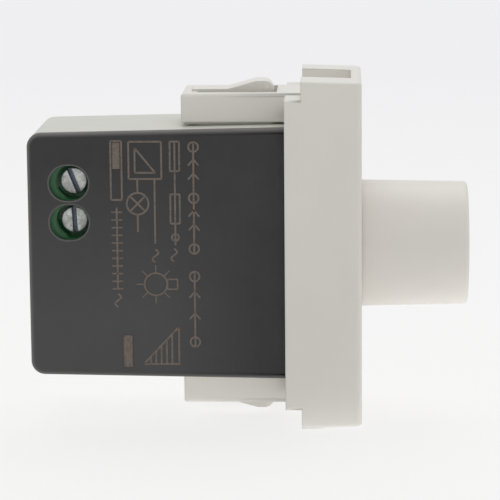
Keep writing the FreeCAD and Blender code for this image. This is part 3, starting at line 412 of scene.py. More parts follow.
def head_half(radius, chord, low, high, ease, steps=5, count=28):
    """Half a slotted head: an arc closed by its chord, drawn in by a quarter round at the top.
    Points are (across the slot, along the slot, height)."""
    t = np.radians(np.linspace(0, 90, steps))
    inset = np.concatenate([[0], ease * (1 - np.cos(t))])
    height = np.concatenate([[low], high - ease * (1 - np.sin(t)) * np.sign(high - low)])
    reach = np.arccos((chord + inset) / (radius - inset))
    angle, arc = reach[:, None] * np.linspace(-1, 1, count), (radius - inset)[:, None]
    edge = np.stack([arc * np.cos(angle), arc * np.sin(angle)], -1)
    ring = np.concatenate([edge, edge[:, :1]], axis=1)
    level = np.broadcast_to(height[:, None, None], ring.shape[:2] + (1,))
    rings = np.concatenate([ring, level], -1)
    middle = rings[[0, -1]].mean(axis=1, keepdims=True)
    ends = np.broadcast_to(middle, (2,) + rings.shape[1:])
    return np.concatenate([ends[:1], rings, ends[1:]])


def slotted_screw(pole):
    """The head's two halves above a turned disc that runs on as the threaded shank."""
    low, high = span(f"terminal_screw_{pole}")
    centre = (low + high) / 2
    radius, top, tip, core = (high[0] - low[0]) / 2, low[1], high[1], SHANK_RADIUS - THREAD_DEPTH
    slot_floor, foot = top + SLOT_DEPTH, top + HEAD_HEIGHT
    count = 48
    run = np.arange(foot + 0.3, tip - 0.35, THREAD_PITCH / 8)
    along = np.concatenate([[slot_floor, slot_floor, foot - 0.1, foot, foot, foot + 0.25], run,
                            [tip - 0.3, tip, tip]])
    head = np.broadcast_to(np.array([0, radius, radius, radius - 0.1, core, core])[:, None], (6, count + 1))
    end = np.broadcast_to(np.array([core, SHANK_RADIUS - 0.5, 0])[:, None], (3, count + 1))
    cut = thread(run, SHANK_RADIUS, THREAD_PITCH, THREAD_DEPTH, count)
    axis = np.array([centre[0], 0, centre[2]])
    body = turned(along, np.concatenate([head, cut, end]), "y", axis, count)
    angle = np.radians(SLOT_ANGLES[pole])
    slot_way = np.array([np.cos(angle), 0, -np.sin(angle)])
    across = np.array([np.sin(angle), 0, np.cos(angle)])
    half = head_half(radius, SLOT_WIDTH / 2, slot_floor - 0.02, top, HEAD_ROUND)
    halves = [axis + side * half[..., :1] * across + half[..., 1:2] * slot_way
              + half[..., 2:] * np.array([0, 1, 0]) for side in (1, -1)]
    return surface(f"screw_{pole}_turned", body, *halves)


def scuffed_zinc(top):
    """Zinc plating, mottled and scuffed on top, and painted darker below the head's face, as painted shade in
    the slot and round the head.
    """
    finish = Finish("screw_steel", Metallic=0.75)
    scuffs = finish.noise(0.00035, detail=6.0, roughness=0.7)
    cloud = finish.noise(0.0011, detail=3.0)
    tint = finish.blend(finish.spread(cloud, 0, 1, 0.35, 0.65), shade(ZINC, 0.84), ZINC)
    tint = finish.blend(finish.spread(scuffs, 0, 0.5, 0.5, 0.62), tint, shade(ZINC, 0.66))
    # Painted shade: below the head's top face the zinc is blended to a dark bluish grey, standing for the
    # shade in the slot and the well.
    depth = finish.along("Y", (0, top * MM, 0))
    tint = finish.blend(finish.spread(depth, 0, 1, 0.0001, 0.00035), tint, SLOT_PAINTED_SHADE)
    rough = finish.spread(scuffs, 0.3, 0.6)
    return finish.wear(tint, rough, finish.relief(scuffs, 0.00001, finish.soft_edges(0.00008)))


screw_steel = scuffed_zinc(span("terminal_screw_1")[0][1])
for pole in (1, 2):
    show(f"screw_{pole}_turned", slotted_screw(pole), screw_steel, f"screw_{pole}", "screw_steel",
         f"terminal_screw_{pole}")


# Potentiometer: a deep drawn can closed by the plate of a zinc bush with an M8 fine thread. A
# carbon track lies on a brown wafer, and the wiper turns on a nylon rotor with the spindle.

CAN_GREY, BUSH_GREY = (172, 172, 168), (160, 160, 158)
WAFER_BROWN, CARBON, ROTOR_WHITE = (116, 82, 52), (36, 36, 38), (206, 202, 190)
BRONZE, SPINDLE_GREY = (190, 140, 84), (200, 200, 202)
BUSH_BORE, BUSH_RADIUS, BUSH_PITCH, BUSH_THREAD_DEPTH, PLATE_FRONT = 3.05, 4.0, 0.75, 0.4, -5.4
TRACK_RADIUS, TRACK_WIDTH, TRACK_START, TRACK_END = 5.35, 1.1, -50, 230
BLADE_SPACING, BLADE_WIDTH, BLADE_THICKNESS = 0.9, 0.7, 0.1


def threaded_bush():
    """The bush's half section, from the bore's rear edge round the plate, the thread and the nose."""
    low, high = span("potentiometer_bush")
    plate, count = high[1], 96
    run = np.arange(PLATE_FRONT + 0.3, high[0] - 0.5, BUSH_PITCH / 10)
    along = np.concatenate([[low[0], low[0], low[0] + 0.2, PLATE_FRONT - 0.2, PLATE_FRONT, PLATE_FRONT,
                             PLATE_FRONT + 0.2], run, [high[0] - 0.4, high[0], high[0], low[0]]])
    root = BUSH_RADIUS - BUSH_THREAD_DEPTH
    start = np.array([BUSH_BORE, plate - 0.2, plate, plate, plate - 0.2, root, root])
    end = np.array([root, root - 0.3, BUSH_BORE, BUSH_BORE])
    start, end = (np.broadcast_to(part[:, None], (len(part), count + 1)) for part in (start, end))
    cut = thread(run, BUSH_RADIUS, BUSH_PITCH, BUSH_THREAD_DEPTH, count)
    return turned(along, np.concatenate([start, cut, end]), count=count)


show_copy("potentiometer_can", metal("can_steel", CAN_GREY, 0.36, streak=(8, 1, 1)), "housing",
          "cage_steel")
cast_zinc = metal("cast_zinc", BUSH_GREY, 0.46, size=0.0006)
show("bush_threaded", surface("bush_threaded", threaded_bush()), cast_zinc, "housing", "cast_zinc",
     "potentiometer_bush")
show_copy("resistive_track", moulded("wafer_brown", WAFER_BROWN, 0.62, grain=0.0005, drift=0.2), "housing",
          "wafer_brown")
show_copy("wiper_rotor", moulded("rotor_plastic", ROTOR_WHITE, 0.4), "wiper", "rotor_plastic")
show_copy("spindle", metal("spindle_alloy", SPINDLE_GREY, 0.28, streak=(14, 1, 1)), "knob_and_spindle",
          "spindle_alloy")

wafer_rear = span("resistive_track")[0][0]
sweep = np.radians(np.linspace(TRACK_START, TRACK_END, 81))
ring = np.stack([0 * sweep + wafer_rear - 0.01, TRACK_RADIUS * np.cos(sweep),
                 TRACK_RADIUS * np.sin(sweep)], -1)
show("carbon_track", surface("carbon_track", swept(ring, oblong(0.02, TRACK_WIDTH), (1, 0, 0))),
     moulded("carbon_ink", CARBON, 0.55, grain=0.0002, drift=0.15), "housing", "wafer_brown")

rotor_front = span("wiper_rotor")[1][0]
blade = bent([(rotor_front - 0.75, BLADE_SPACING, 4.75), (rotor_front - 0.25, BLADE_SPACING, 4.8),
              (wafer_rear - 0.09, BLADE_SPACING, 5.4), (wafer_rear - 0.2, BLADE_SPACING, 5.9)], 0.12)
blades = [swept(blade * (1, side, 1), oblong(BLADE_WIDTH, BLADE_THICKNESS), (0, 1, 0)) for side in (1, -1)]
show("wiper_blades", surface("wiper_blades", *blades), metal("wiper_bronze", BRONZE, 0.3), "wiper",
     "rotor_plastic")


# Push switch: a black housing behind the potentiometer, with a nylon plunger that the spindle
# presses, tinned tabs, and a return spring of round wire whose end coils are closed.

SWITCH_BLACK, PLUNGER_WHITE, SPRING_GREY = (32, 32, 35), (212, 208, 198), (160, 160, 162)
SPRING_TURNS, SPRING_WIRE, CLOSED_COIL = 5.0, 0.2, 2.1

show_copy("switch_case", moulded("switch_black", SWITCH_BLACK, 0.42, drift=0.15), "housing", "switch_black")
show_copy("switch_plunger", moulded("plunger_nylon", PLUNGER_WHITE, 0.38), "push_rod", "rotor_plastic")
show_copy("switch_terminals", tinned_brass, "housing", "tinned_brass")

low, high = span("return_spring")
turn = np.linspace(0, SPRING_TURNS, int(SPRING_TURNS * 48) + 1)
start, end, closed = low[0] + SPRING_WIRE, high[0] - SPRING_WIRE, CLOSED_COIL * SPRING_WIRE
climb = np.interp(turn, [0, 1, SPRING_TURNS - 1, SPRING_TURNS], [start, start + closed, end - closed, end])
radius = high[1] - SPRING_WIRE
coil = np.stack([climb, radius * np.cos(2 * np.pi * turn), radius * np.sin(2 * np.pi * turn)], -1)
spring = show("spring_coil", surface("spring_coil", swept(coil, circle(SPRING_WIRE, 14), (1, 0, 0))),
              metal("spring_steel", SPRING_GREY, 0.24, size=0.0003), "housing", "spring_steel",
              "return_spring")
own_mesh(spring)


# Choke: a ferrite core of two pressed halves, ground where they meet, with enamelled copper wire
# wound in two layers round its middle limb.

FERRITE, COPPER = (50, 50, 54), (188, 104, 56)
LAYER_TURNS, WIRE_RADIUS = 10, 0.285


def wound(low, high, inset, turns, power=5.0, steps=48):
    """A layer of wire round a squared limb: a helix whose turns are superellipses,
    |y / a| ** power + |z / b| ** power = 1."""
    t = np.linspace(0, 2 * np.pi * turns, int(turns * steps) + 1)
    middle, half = (low + high) / 2, (high - low) / 2 - inset
    bulge = [half[axis] * np.sign(way) * np.abs(way) ** (2 / power)
             for axis, way in ((1, np.cos(t)), (2, np.sin(t)))]
    return np.stack([np.linspace(low[0] + WIRE_RADIUS, high[0] - WIRE_RADIUS, len(t)), middle[1] + bulge[0],
                     middle[2] + bulge[1]], -1)


show_copy("choke_core", moulded("ferrite", FERRITE, 0.66, grain=0.0004, depth=0.00001, drift=0.2), "housing",
          "ferrite")
low, high = span("choke_winding")
layers = [swept(wound(low, high, WIRE_RADIUS + depth, LAYER_TURNS), circle(WIRE_RADIUS, 10), (1, 0, 0))
          for depth in (0, 2 * WIRE_RADIUS)]
show("winding_wire", surface("winding_wire", *layers), metal("copper_wire", COPPER, 0.26, size=0.0005),
     "housing", "copper_wire", "choke_winding")


# Capacitors and protection: a film capacitor in a yellow box, an electrolytic capacitor in a
# printed sleeve, a blue lacquered varistor disc, and a small ceramic fuse with plated caps.

FILM_YELLOW, SLEEVE, SLEEVE_STRIPE = (214, 166, 58), (38, 44, 66), (196, 200, 206)
ALUMINIUM, VARISTOR_BLUE, CERAMIC = (198, 198, 200), (38, 74, 150), (226, 222, 208)
FILM_GAP, SCORE_REACH, LEAD_RADIUS, CAP_LENGTH = 0.35, 1.7, 0.3, 1.55


def rounded_box(low, high, radius, steps=4):
    """A box with rounded edges: a sphere whose octants are moved apart, with a flat at each end."""
    low, high = np.asarray(low, float), np.asarray(high, float)
    half = (high - low) / 2
    arc = np.linspace(0, 90, steps + 1)
    turn = np.radians((np.arange(4)[:, None] * 90 + arc).ravel())
    rise = np.radians(np.concatenate([arc - 90, arc]))
    side = np.repeat([(1, 1), (-1, 1), (-1, -1), (1, -1)], steps + 1, axis=0)
    level = np.repeat([-1, 1], steps + 1)
    points = np.stack(np.broadcast_arrays(
        radius * np.cos(rise)[:, None] * np.cos(turn) + (half[0] - radius) * side[:, 0],
        radius * np.cos(rise)[:, None] * np.sin(turn) + (half[1] - radius) * side[:, 1],
        (radius * np.sin(rise) + (half[2] - radius) * level)[:, None]), -1)
    points = np.concatenate([points, points[:, :1]], axis=1)
    ends = np.zeros((2,) + points.shape[1:])
    ends[..., 2] = np.array([-half[2], half[2]])[:, None]
    return np.concatenate([ends[:1], points, ends[1:]]) + (low + high) / 2


low, high = span("film_capacitor")
foot = face - FILM_GAP
feet = [rounded_box((x - 0.6, foot - 0.1, low[2] + 0.6), (x + 0.6, face, high[2] - 0.6), 0.1)
        for x in (low[0] + 1.0, high[0] - 1.0)]
show("film_box", surface("film_box", rounded_box(low, (high[0], foot, high[2]), 0.45), *feet),
     moulded("capacitor_yellow", FILM_YELLOW, 0.34, grain=0.0004, drift=0.06), "housing",
     "capacitor_yellow", "film_capacitor")

low, high = span("smoothing_capacitor")
centre = ((low[0] + high[0]) / 2, 0, (low[2] + high[2]) / 2)
radius, top = (high[0] - low[0]) / 2, low[1]
curl = np.radians(np.linspace(-90, 60, 7))
sleeve_y = np.concatenate([[top + 0.35], top + 0.3 - 0.3 * np.cos(curl[::-1] - np.pi / 6), [face - 1.9],
                           face - 1.6 + 0.25 * np.sin(curl), [face - 1.1, face - 0.12, face - 0.12]])
sleeve_r = np.concatenate([[radius - 0.55], radius - 0.45 + 0.45 * np.linspace(0, 1, 7) ** 0.5, [radius],
                           radius - 0.28 * np.cos(curl) ** 2, [radius, radius, 0]])
sleeve = Finish("capacitor_sleeve")
stripe = sleeve.product(sleeve.spread(sleeve.distance("X", (centre[0] * MM, 0, 0)), 1, 0, 0.0007, 0.00075),
                        sleeve.spread(sleeve.along("Z", (0, 0, centre[2] * MM)), 1, 0, -0.0001, 0.0001))
sleeve.wear(sleeve.blend(stripe, SLEEVE, SLEEVE_STRIPE), sleeve.spread(sleeve.noise(0.002), 0.22, 0.36),
            sleeve.relief(sleeve.noise(0.0012, detail=3.0), 0.00001))
show("capacitor_sleeve", surface("capacitor_sleeve", turned(sleeve_y, sleeve_r, "y", centre)),
     sleeve.material, "housing", "capacitor_sleeve", "smoothing_capacitor")

# The lid is scored with a cross, along which it would open: its depth is a bell curve of the
# distance to the nearer of two lines.
r = np.linspace(0, radius - 0.4, 40)[:, None]
t = np.linspace(0, 2 * np.pi, 97)
score = np.minimum(np.abs(r * np.cos(t)), np.abs(r * np.sin(t)))
scored = 0.1 * np.exp(-(score / 0.12) ** 2) * (r < SCORE_REACH)
lid = np.stack([centre[0] + r * np.cos(t), top + 0.25 + scored, centre[2] + r * np.sin(t)], -1)
lid_back = lid[::-1] * (1, 0, 1) + (0, top + 0.5, 0)
show("capacitor_lid", surface("capacitor_lid", np.concatenate([lid, lid_back])),
     metal("lid_aluminium", ALUMINIUM, 0.34), "housing", "capacitor_sleeve")

# The disc's half section is a superellipse: z = half |sin t| ** 0.8, r = radius |cos t| ** 0.45.
low, high = span("varistor")
centre = ((low[0] + high[0]) / 2, low[1] + (high[0] - low[0]) / 2, 0)
radius, half, disc_z = (high[0] - low[0]) / 2, (high[2] - low[2]) / 2, (low[2] + high[2]) / 2
t = np.linspace(-np.pi / 2, np.pi / 2, 33)
disc = turned(disc_z + half * np.sign(np.sin(t)) * np.abs(np.sin(t)) ** 0.8,
              radius * np.abs(np.cos(t)) ** 0.45, "z", centre)
lead_route = [(1.6, centre[1] + 1.8), (2.0, face - 1.0), (2.0, far)]
leads = [swept(bent([(centre[0] + side * reach, y, disc_z) for reach, y in lead_route], 0.3),
               circle(LEAD_RADIUS, 10), (0, 0, 1)) for side in (-1, 1)]
show("varistor_disc", surface("varistor_disc", disc),
     moulded("varistor_blue", VARISTOR_BLUE, 0.22, grain=0.0009, depth=0.00002, drift=0.12), "housing",
     "varistor_blue", "varistor")
show("varistor_leads", surface("varistor_leads", *leads), tinned_brass, "housing", "tinned_brass")

low, high = span("fuse")
radius = (high[2] - low[2]) / 2
centre = (0, (low[1] + high[1]) / 2, (low[2] + high[2]) / 2)
tube = turned([low[0] + 0.3, low[0] + 0.3, high[0] - 0.3, high[0] - 0.3],
              [0, radius - 0.12, radius - 0.12, 0], centre=centre, count=40)
caps = [turned(start + way * np.array([0, 0, 0.15, CAP_LENGTH - 0.1, CAP_LENGTH, CAP_LENGTH]),
               [0, radius - 0.15, radius, radius, radius - 0.1, 0], centre=centre, count=40)
        for start, way in ((low[0], 1), (high[0], -1))]
show("fuse_tube", surface("fuse_tube", tube), moulded("fuse_ceramic", CERAMIC, 0.25, grain=0.0003), "housing",
     "fuse_ceramic", "fuse")
show("fuse_caps", surface("fuse_caps", *caps), tinned_brass, "housing", "tinned_brass")


# Control chip and power transistors: black moulded packages with tinned legs. The transistors
# stand against an extruded aluminium plate that spreads their heat along the case wall.

CHIP_BLACK = (30, 30, 32)
PLATE_GREY = (196, 196, 199)
CHIP_LEGS, CHIP_PITCH, LEG_OVERHANG, PACKAGE_GAP = 7, 0.65, 0.6, 0.8

chip_black = moulded("chip_black", CHIP_BLACK, 0.5, grain=0.00015, drift=0.12)
low, high = span("control_chip")
middle = (low + high) / 2
body_low, body_high = low + (0, 0, LEG_OVERHANG), high - (0, 0.12, LEG_OVERHANG)
show("chip_body", surface("chip_body", rounded_box(body_low, body_high, 0.12)), chip_black, "housing",
     "chip_black", "control_chip")
leg_x = middle[0] + CHIP_PITCH * (np.arange(CHIP_LEGS) - (CHIP_LEGS - 1) / 2)
leg_route = [(middle[1], 1.2), (middle[1], 1.55), (face - 0.06, 1.65), (face - 0.06, 1.95)]
chip_legs = [swept(bent([(x, y, middle[2] + side * reach) for y, reach in leg_route], 0.08),
                   oblong(0.24, 0.12), (1, 0, 0)) for side in (-1, 1) for x in leg_x]
show("chip_legs", surface("chip_legs", *chip_legs), tinned_brass, "housing", "tinned_brass")

for name, middle in zip(("transistor_1", "transistor_2"), transistors):
    low, high = span(name)
    foot = face - PACKAGE_GAP
    package = rounded_box(low, (high[0], foot, high[2]), 0.18)
    boss = turned([high[2] - 0.1, high[2] + 0.3, high[2] + 0.45, high[2] + 0.45], [1.5, 1.5, 1.35, 0], "z",
                  (middle[0], low[1] + 2.4, 0), 40)
    show(name + "_package", surface(name + "_package", package, boss), chip_black, "housing", "chip_black",
         name)
    legs = [swept([(middle[0] + step, foot - 0.3, middle[2]), (middle[0] + step, face, middle[2]),
                   (middle[0] + step, far + 0.4, middle[2])], oblong(0.6, 0.45), (1, 0, 0))
            for step in LEG_STEPS]
    show(name + "_legs", surface(name + "_legs", *legs), tinned_brass, "housing", "tinned_brass")
show_copy("heat_plate", metal("plate_aluminium", PLATE_GREY, 0.36, streak=(1, 12, 12), size=0.0008),
          "housing", "plate_aluminium")


# Case body: the electronics' box, moulded in pale grey polycarbonate with a matt surface. Its
# lugs snap behind the frame's ribs, and the wires enter through two holes in its rear wall.

CASE_GREY = (216, 217, 210)

case_plastic = moulded("case_plastic", CASE_GREY, 0.5, drift=0.03, edge=0.0002)
show_copy("case_body", case_plastic, "housing", "case_plastic")


# Washer and nut: they clamp the bush, and with it the potentiometer, in the case's front wall.
# The brass nut is cut from hexagonal bar and chamfered, so its faces end in shallow arcs.

NUT_BRASS = (196, 176, 120)
WASHER_BORE, NUT_BORE, NUT_CONE = 4.1, 4.05, 1.8

low, high = span("bush_washer")
pressed = turned([low[0], low[0], low[0] + 0.12, high[0] - 0.06, high[0], high[0], low[0]],
                 [WASHER_BORE, high[1] - 0.05, high[1], high[1], high[1] - 0.12, WASHER_BORE, WASHER_BORE],
                 count=96)
show("washer_pressed", surface("washer_pressed", pressed), cage_steel, "housing", "cage_steel", "bush_washer")

# The nut's radius is the smaller of a hexagon's, flat / cos t, and a cone's at each end.
low, high = span("bush_nut")
flat = high[1]
count = 144
t = np.linspace(0, 2 * np.pi, count + 1)
hexagon = flat / np.cos((t + np.pi / 6) % (np.pi / 3) - np.pi / 6)
height = np.linspace(low[0], high[0], 25)
cone = flat + NUT_CONE * np.minimum(height - low[0], high[0] - height)
sides = np.minimum(hexagon, cone[:, None])
bore = np.full((1, count + 1), NUT_BORE)
nut = turned(np.concatenate([[low[0]], height, [high[0], low[0]]]),
             np.concatenate([bore, sides, bore, bore]), count=count)
show("nut_chamfered", surface("nut_chamfered", nut), metal("nut_brass", NUT_BRASS, 0.3, size=0.0006),
     "housing", "tinned_brass", "bush_nut")


# Case cover: a flat lid moulded in dark grey, matt and slightly mottled, pressed into the body
# over two holes for the screwdriver. A wiring plan without words is pad printed on it in tan.

COVER_GREY, COVER_SHEEN_AND_MOTTLE, PAINTED_RIM_HIGHLIGHT = (45, 45, 47), (72, 72, 73), (97, 96, 95)
INK_TAN = (122, 111, 102)
PRINT_LINE, PRINT_THICKNESS = 0.25, 0.016
HOLE_RADIUS, HOLE_STRETCH, HOLE_SHIFT, RIM_RADIUS, RIM_DEPTH = 2.4, 0.25, 0.45, 0.15, 0.13


def cover_with_painted_sheen():
    """Dark grey plastic, painted paler towards the lower rear corner as a painted sheen, and painted paler
    round the rim as a painted highlight.
    """
    finish = Finish("cover_plastic")
    # Painted sheen: the cover is painted paler towards its lower rear corner, as a reflection of the pale
    # table. The same paler grey also serves for the random mottle below.
    painted_sheen = finish.product(finish.spread(finish.along("Z"), 1, 0, -0.008, 0.012),
                           finish.spread(finish.along("X"), 1, 0, -0.026, -0.013))
    tint = finish.blend(painted_sheen, COVER_GREY, COVER_SHEEN_AND_MOTTLE)
    pits = finish.noise(0.00018, detail=3.0, roughness=0.6)
    tint = finish.blend(finish.spread(finish.noise(0.009, detail=3.0), 0, 0.1), tint, shade(COVER_SHEEN_AND_MOTTLE, 1.2))
    # Painted highlight: everything more than 0.18 mm behind the cover's face, which is its rounded rim and
    # the walls of its holes, is painted paler.
    behind = finish.along("Y", (0, span("case_cover")[0][1] * MM, 0))
    tint = finish.blend(finish.spread(behind, 0, 1, 0.00001, 0.00018), tint, PAINTED_RIM_HIGHLIGHT)
    rough = finish.spread(finish.noise(0.0012, detail=4.0), 0.44, 0.56)
    return finish.wear(tint, rough, finish.relief(pits, 0.000008, finish.soft_edges(0.0003)))


show_copy("case_cover", cover_with_painted_sheen(), "housing", "cover_plastic")
cover_face = span("case_cover")[0][1]
screw_x = (span("terminal_screw_1")[0][0] + span("terminal_screw_1")[1][0]) / 2
# A hole is two half circles moved apart: x = stretch tanh(20 cos t) + radius cos t, z = radius sin t.
t = np.linspace(0, 2 * np.pi, 97)
rim_x = screw_x - HOLE_SHIFT + HOLE_STRETCH * np.tanh(20 * np.cos(t)) + HOLE_RADIUS * np.cos(t)
rims = [swept(np.stack([rim_x, 0 * t + cover_face + RIM_DEPTH, z + HOLE_RADIUS * np.sin(t)], -1),
              circle(RIM_RADIUS, 10), (0, 1, 0)) for z in pin_z]
# The rims round the holes are coloured paler than the cover, as a painted highlight on their rounding.
show("hole_rims", surface("hole_rims", *rims), moulded("rim_painted_highlight", PAINTED_RIM_HIGHLIGHT, 0.4), "housing",
     "cover_plastic")


def stroke(*points, width=PRINT_LINE):
    """A printed line through places (x, z) on the cover: a flat oblong carried from place to place."""
    path = [(x, cover_face, z) for x, z in points]
    return swept(path if len(path) == 2 else bent(path, 0.02, 3), oblong(PRINT_THICKNESS, width), (0, 1, 0))


def box_lines(x0, x1, z0, z1, width=PRINT_LINE):
    """The four sides of a printed box."""
    return [stroke((x0, z0), (x1, z0), width=width), stroke((x1, z0), (x1, z1), width=width),
            stroke((x1, z1), (x0, z1), width=width), stroke((x0, z1), (x0, z0), width=width)]


def ring_line(x, z, radius, width=PRINT_LINE):
    """A printed ring: its places are (x + radius cos t, z + radius sin t)."""
    t = np.linspace(0, 2 * np.pi, 41)
    path = np.stack([x + radius * np.cos(t), 0 * t + cover_face, z + radius * np.sin(t)], -1)
    return swept(path, oblong(PRINT_THICKNESS, width), (0, 1, 0))


def wave_line(x, z, length=1.7, height=0.38):
    """The sign for alternating current, one period of a sine that runs up the cover."""
    t = np.linspace(-0.5, 0.5, 25)
    path = np.stack([x + height * np.sin(2 * np.pi * t), 0 * t + cover_face, z + length * t], -1)
    return swept(path, oblong(PRINT_THICKNESS, 0.24), (0, 1, 0))


def wiring_plan():
    """Columns that run up the cover: a strip gauge, the dimmer's wiring with its symbols, and a line."""
    gauge = [*box_lines(-32.1, -30.7, 14.8, 7.2), stroke((-31.4, 14.6), (-31.4, 11.2), width=1.0),
             stroke((-31.4, 6.2), (-31.4, -4.5))]
    gauge += [stroke((-32.1, z), (-30.7, z), width=0.2) for z in np.arange(5.6, -4.6, -1.0)]
    dimmer = [*box_lines(-29.8, -25.6, 14.7, 9.9),
              stroke((-29.0, 10.7), (-29.0, 13.9), (-26.4, 10.7), (-29.0, 10.7))]
    feed = [stroke((-28.7, 9.9), (-28.7, 8.2)), stroke((-26.5, 9.9), (-26.5, 1.5)),
            ring_line(-28.7, 6.7, 1.4), stroke((-29.7, 7.7), (-27.7, 5.7)),
            stroke((-29.7, 5.7), (-27.7, 7.7)), stroke((-28.7, 5.3), (-28.7, 3.0))]
    fuse = [*box_lines(-24.5, -23.3, 14.7, 10.9), stroke((-23.9, 14.7), (-23.9, 1.3)),
            *box_lines(-24.5, -23.3, 7.9, 4.1), ring_line(-23.9, 2.3, 0.45)]
    line = [stroke((-21.5, 14.7), (-21.5, 0.2)), stroke((-21.5, -2.2), (-21.5, -12.0)),
            *(ring_line(-21.5, z, 0.62) for z in (14.0, 7.4, 0.8, -2.8, -11.4)),
            *(stroke((-22.2, z), (-21.5, z + 0.8), (-20.8, z), width=0.24)
              for z in (11.6, 9.8, 5.0, 3.2, -5.6, -8.4))]
    return gauge + dimmer + feed + fuse + line


def lamp_sign(x, z):
    """A lamp: a ring with rays, and its socket."""
    rays = np.radians(np.arange(135, 406, 45))
    return [ring_line(x, z, 1.46, 0.2), *box_lines(x + 1.5, x + 2.8, z + 0.65, z - 0.65, 0.2),
            *(stroke((x + 1.6 * np.sin(a), z + 1.6 * np.cos(a)), (x + 2.5 * np.sin(a), z + 2.5 * np.cos(a)),
                     width=0.17) for a in rays)]


def dimming_wedge():
    """A hatched wedge, the sign for dimming, whose height grows by 4.9 over a width of 4.6."""
    return [stroke((-28.2, -14.3), (-23.6, -14.3), (-23.6, -9.4), (-28.2, -14.3)),
            *(stroke((x, -14.3), (x, -14.3 + (x + 28.2) * 4.9 / 4.6), width=0.24)
              for x in np.arange(-27.3, -23.8, 0.7))]


# Marks that cross lie at slightly different heights, so that no two faces fall together.
signs = [*lamp_sign(-26.5, -3.8), wave_line(-26.5, -0.1), wave_line(-24.1, 0.0), wave_line(-31.4, -5.9),
         stroke((-30.2, -10.5), (-30.2, -14.7), width=1.2), *dimming_wedge()]
marks = [mark - (0, 0.0015 * (n % 9), 0) for n, mark in enumerate(wiring_plan() + signs)]
ink = Finish("pad_print")
worn = ink.spread(ink.noise(0.0003, detail=4.0), 0.5, 1, 0.3, 0.55)
ink.wear(ink.blend(worn, shade(COVER_GREY, 1.3), INK_TAN), ink.spread(ink.noise(0.0008), 0.5, 0.65),
         ink.relief(ink.noise(0.0001), 0.000003))
show("cover_print", surface("cover_print", *marks, merge=0.0001), ink.material, "housing", "cover_plastic")


# Front frame: one moulding in warm white polycarbonate with a fine satin surface. Its flange
# stands in front of the wall plate, and two arms with springy tongues snap in behind it.

FRAME_WHITE = (237, 235, 229)

frame_plastic = moulded("frame_plastic", FRAME_WHITE, 0.42, drift=0.02, edge=0.00032)
show_copy("front_frame", frame_plastic, "housing", "frame_plastic", sharp=12)


# Knob: a hollow push and turn knob moulded in the frame's white, smooth and satin. Its boss grips
# the spindle's flat and six ribs tie it to the shell, which tapers to a very slightly domed end.

KNOB_WHITE = (239, 236, 230)
TIP_RADIUS, KNOB_WALL, KNOB_END, KNOB_ROUND, KNOB_DOME = 8.06, 1.41, 1.6, 0.5, 0.14
BOSS_START, BOSS_RADIUS, RIB_WIDTH = 1.2, 4.6, 1.0
BORE_RADIUS, BORE_FLAT, BORE_DEPTH = 3.02, 2.42, 9.52


def knob_shell(start, end, radius):
    """The half section from the axis at the tip, over the dome (a parabola), the rounded end (a
    quarter circle) and the tapered flank to the skirt, and back inside to the axis."""
    r = np.linspace(0, TIP_RADIUS - KNOB_ROUND, 24)
    shoulder = end - KNOB_DOME - KNOB_ROUND
    t = np.radians(np.linspace(0, 90, 9))[1:]
    inside, wall = TIP_RADIUS - KNOB_WALL, end - KNOB_END
    along = [end - KNOB_DOME * (r / r[-1]) ** 2, shoulder + KNOB_ROUND * np.cos(t),
             np.linspace(shoulder, start + 0.15, 16)[1:], [start, start, start + 0.1, wall - 0.4, wall, wall]]
    radii = [r, r[-1] + KNOB_ROUND * np.sin(t), np.linspace(TIP_RADIUS, radius, 16)[1:],
             [radius - 0.15, inside + 0.1, inside, inside, inside - 0.4, 0]]
    return turned(np.concatenate(along), np.concatenate(radii), count=192)


def knob_boss(end):
    """A tube whose bore has the spindle's flat: its radius is cut off where r sin t passes the flat."""
    count = 96
    t = np.linspace(0, 2 * np.pi, count + 1)
    bore = np.minimum(BORE_RADIUS, BORE_FLAT / np.maximum(np.sin(t), 0.01))
    along = [BORE_DEPTH, BORE_DEPTH, BOSS_START + 0.3, BOSS_START, BOSS_START, BOSS_START + 0.2, end, end]
    outside = np.array([BOSS_RADIUS - 0.2, BOSS_RADIUS, BOSS_RADIUS + 0.1, 0])[:, None] + 0 * t
    return turned(along, np.concatenate([[0 * t, bore, bore, bore + 0.3], outside]), count=count)


low, high = span("knob")
end_wall = high[0] - KNOB_END / 2
rib = rounded_box((BOSS_START + 0.6, -RIB_WIDTH / 2, BOSS_RADIUS - 0.3),
                  (end_wall, RIB_WIDTH / 2, TIP_RADIUS - KNOB_WALL + 0.2), 0.12)
turns = np.radians(np.arange(0, 360, 60))
ribs = [np.stack([rib[..., 0], rib[..., 1] * np.cos(a) - rib[..., 2] * np.sin(a),
                  rib[..., 1] * np.sin(a) + rib[..., 2] * np.cos(a)], -1) for a in turns]
knob_plastic = moulded("knob_plastic", KNOB_WHITE, 0.38, grain=0.0001, depth=0.000003, drift=0.02,
                       edge=0.0001)
show("knob_shell", surface("knob_shell", knob_shell(low[0], high[0], high[1]), knob_boss(end_wall), *ribs),
     knob_plastic, "knob_and_spindle", "knob_plastic", "knob")


# Studio: a pale matt table that also fills the view's background, soft light from overhead, from
# all round and from the table below, and a camera 0.34 m away and a little above.

TABLE_WHITE, TABLE_FAR = (244, 244, 244), (233, 233, 236)
DOME_LOW, DOME_HIGH, DOME_POLE = 0.47, 0.79, (0, 0.45, 0.9)
OVERHEAD_LIGHT, OVERHEAD_TILT, OVERHEAD_ANGLE = 0.16, np.radians(-24), np.radians(50)
TABLE_GLOW, GLOW_LENGTH, GLOW_DEPTH, GLOW_PLACE = 0.5, 0.14, 0.058, (-0.014, 0.014)
SHADOW_SHARE = 0.25
TABLE_REACH = 6.0
FOCAL_LENGTH = 183.57
DISTANCE = 336.74 * MM
AZIMUTH, ELEVATION, ROLL = np.radians([2.086, 9.82, -0.477])
AIM = np.array([-14.681, 0, -0.978]) * MM

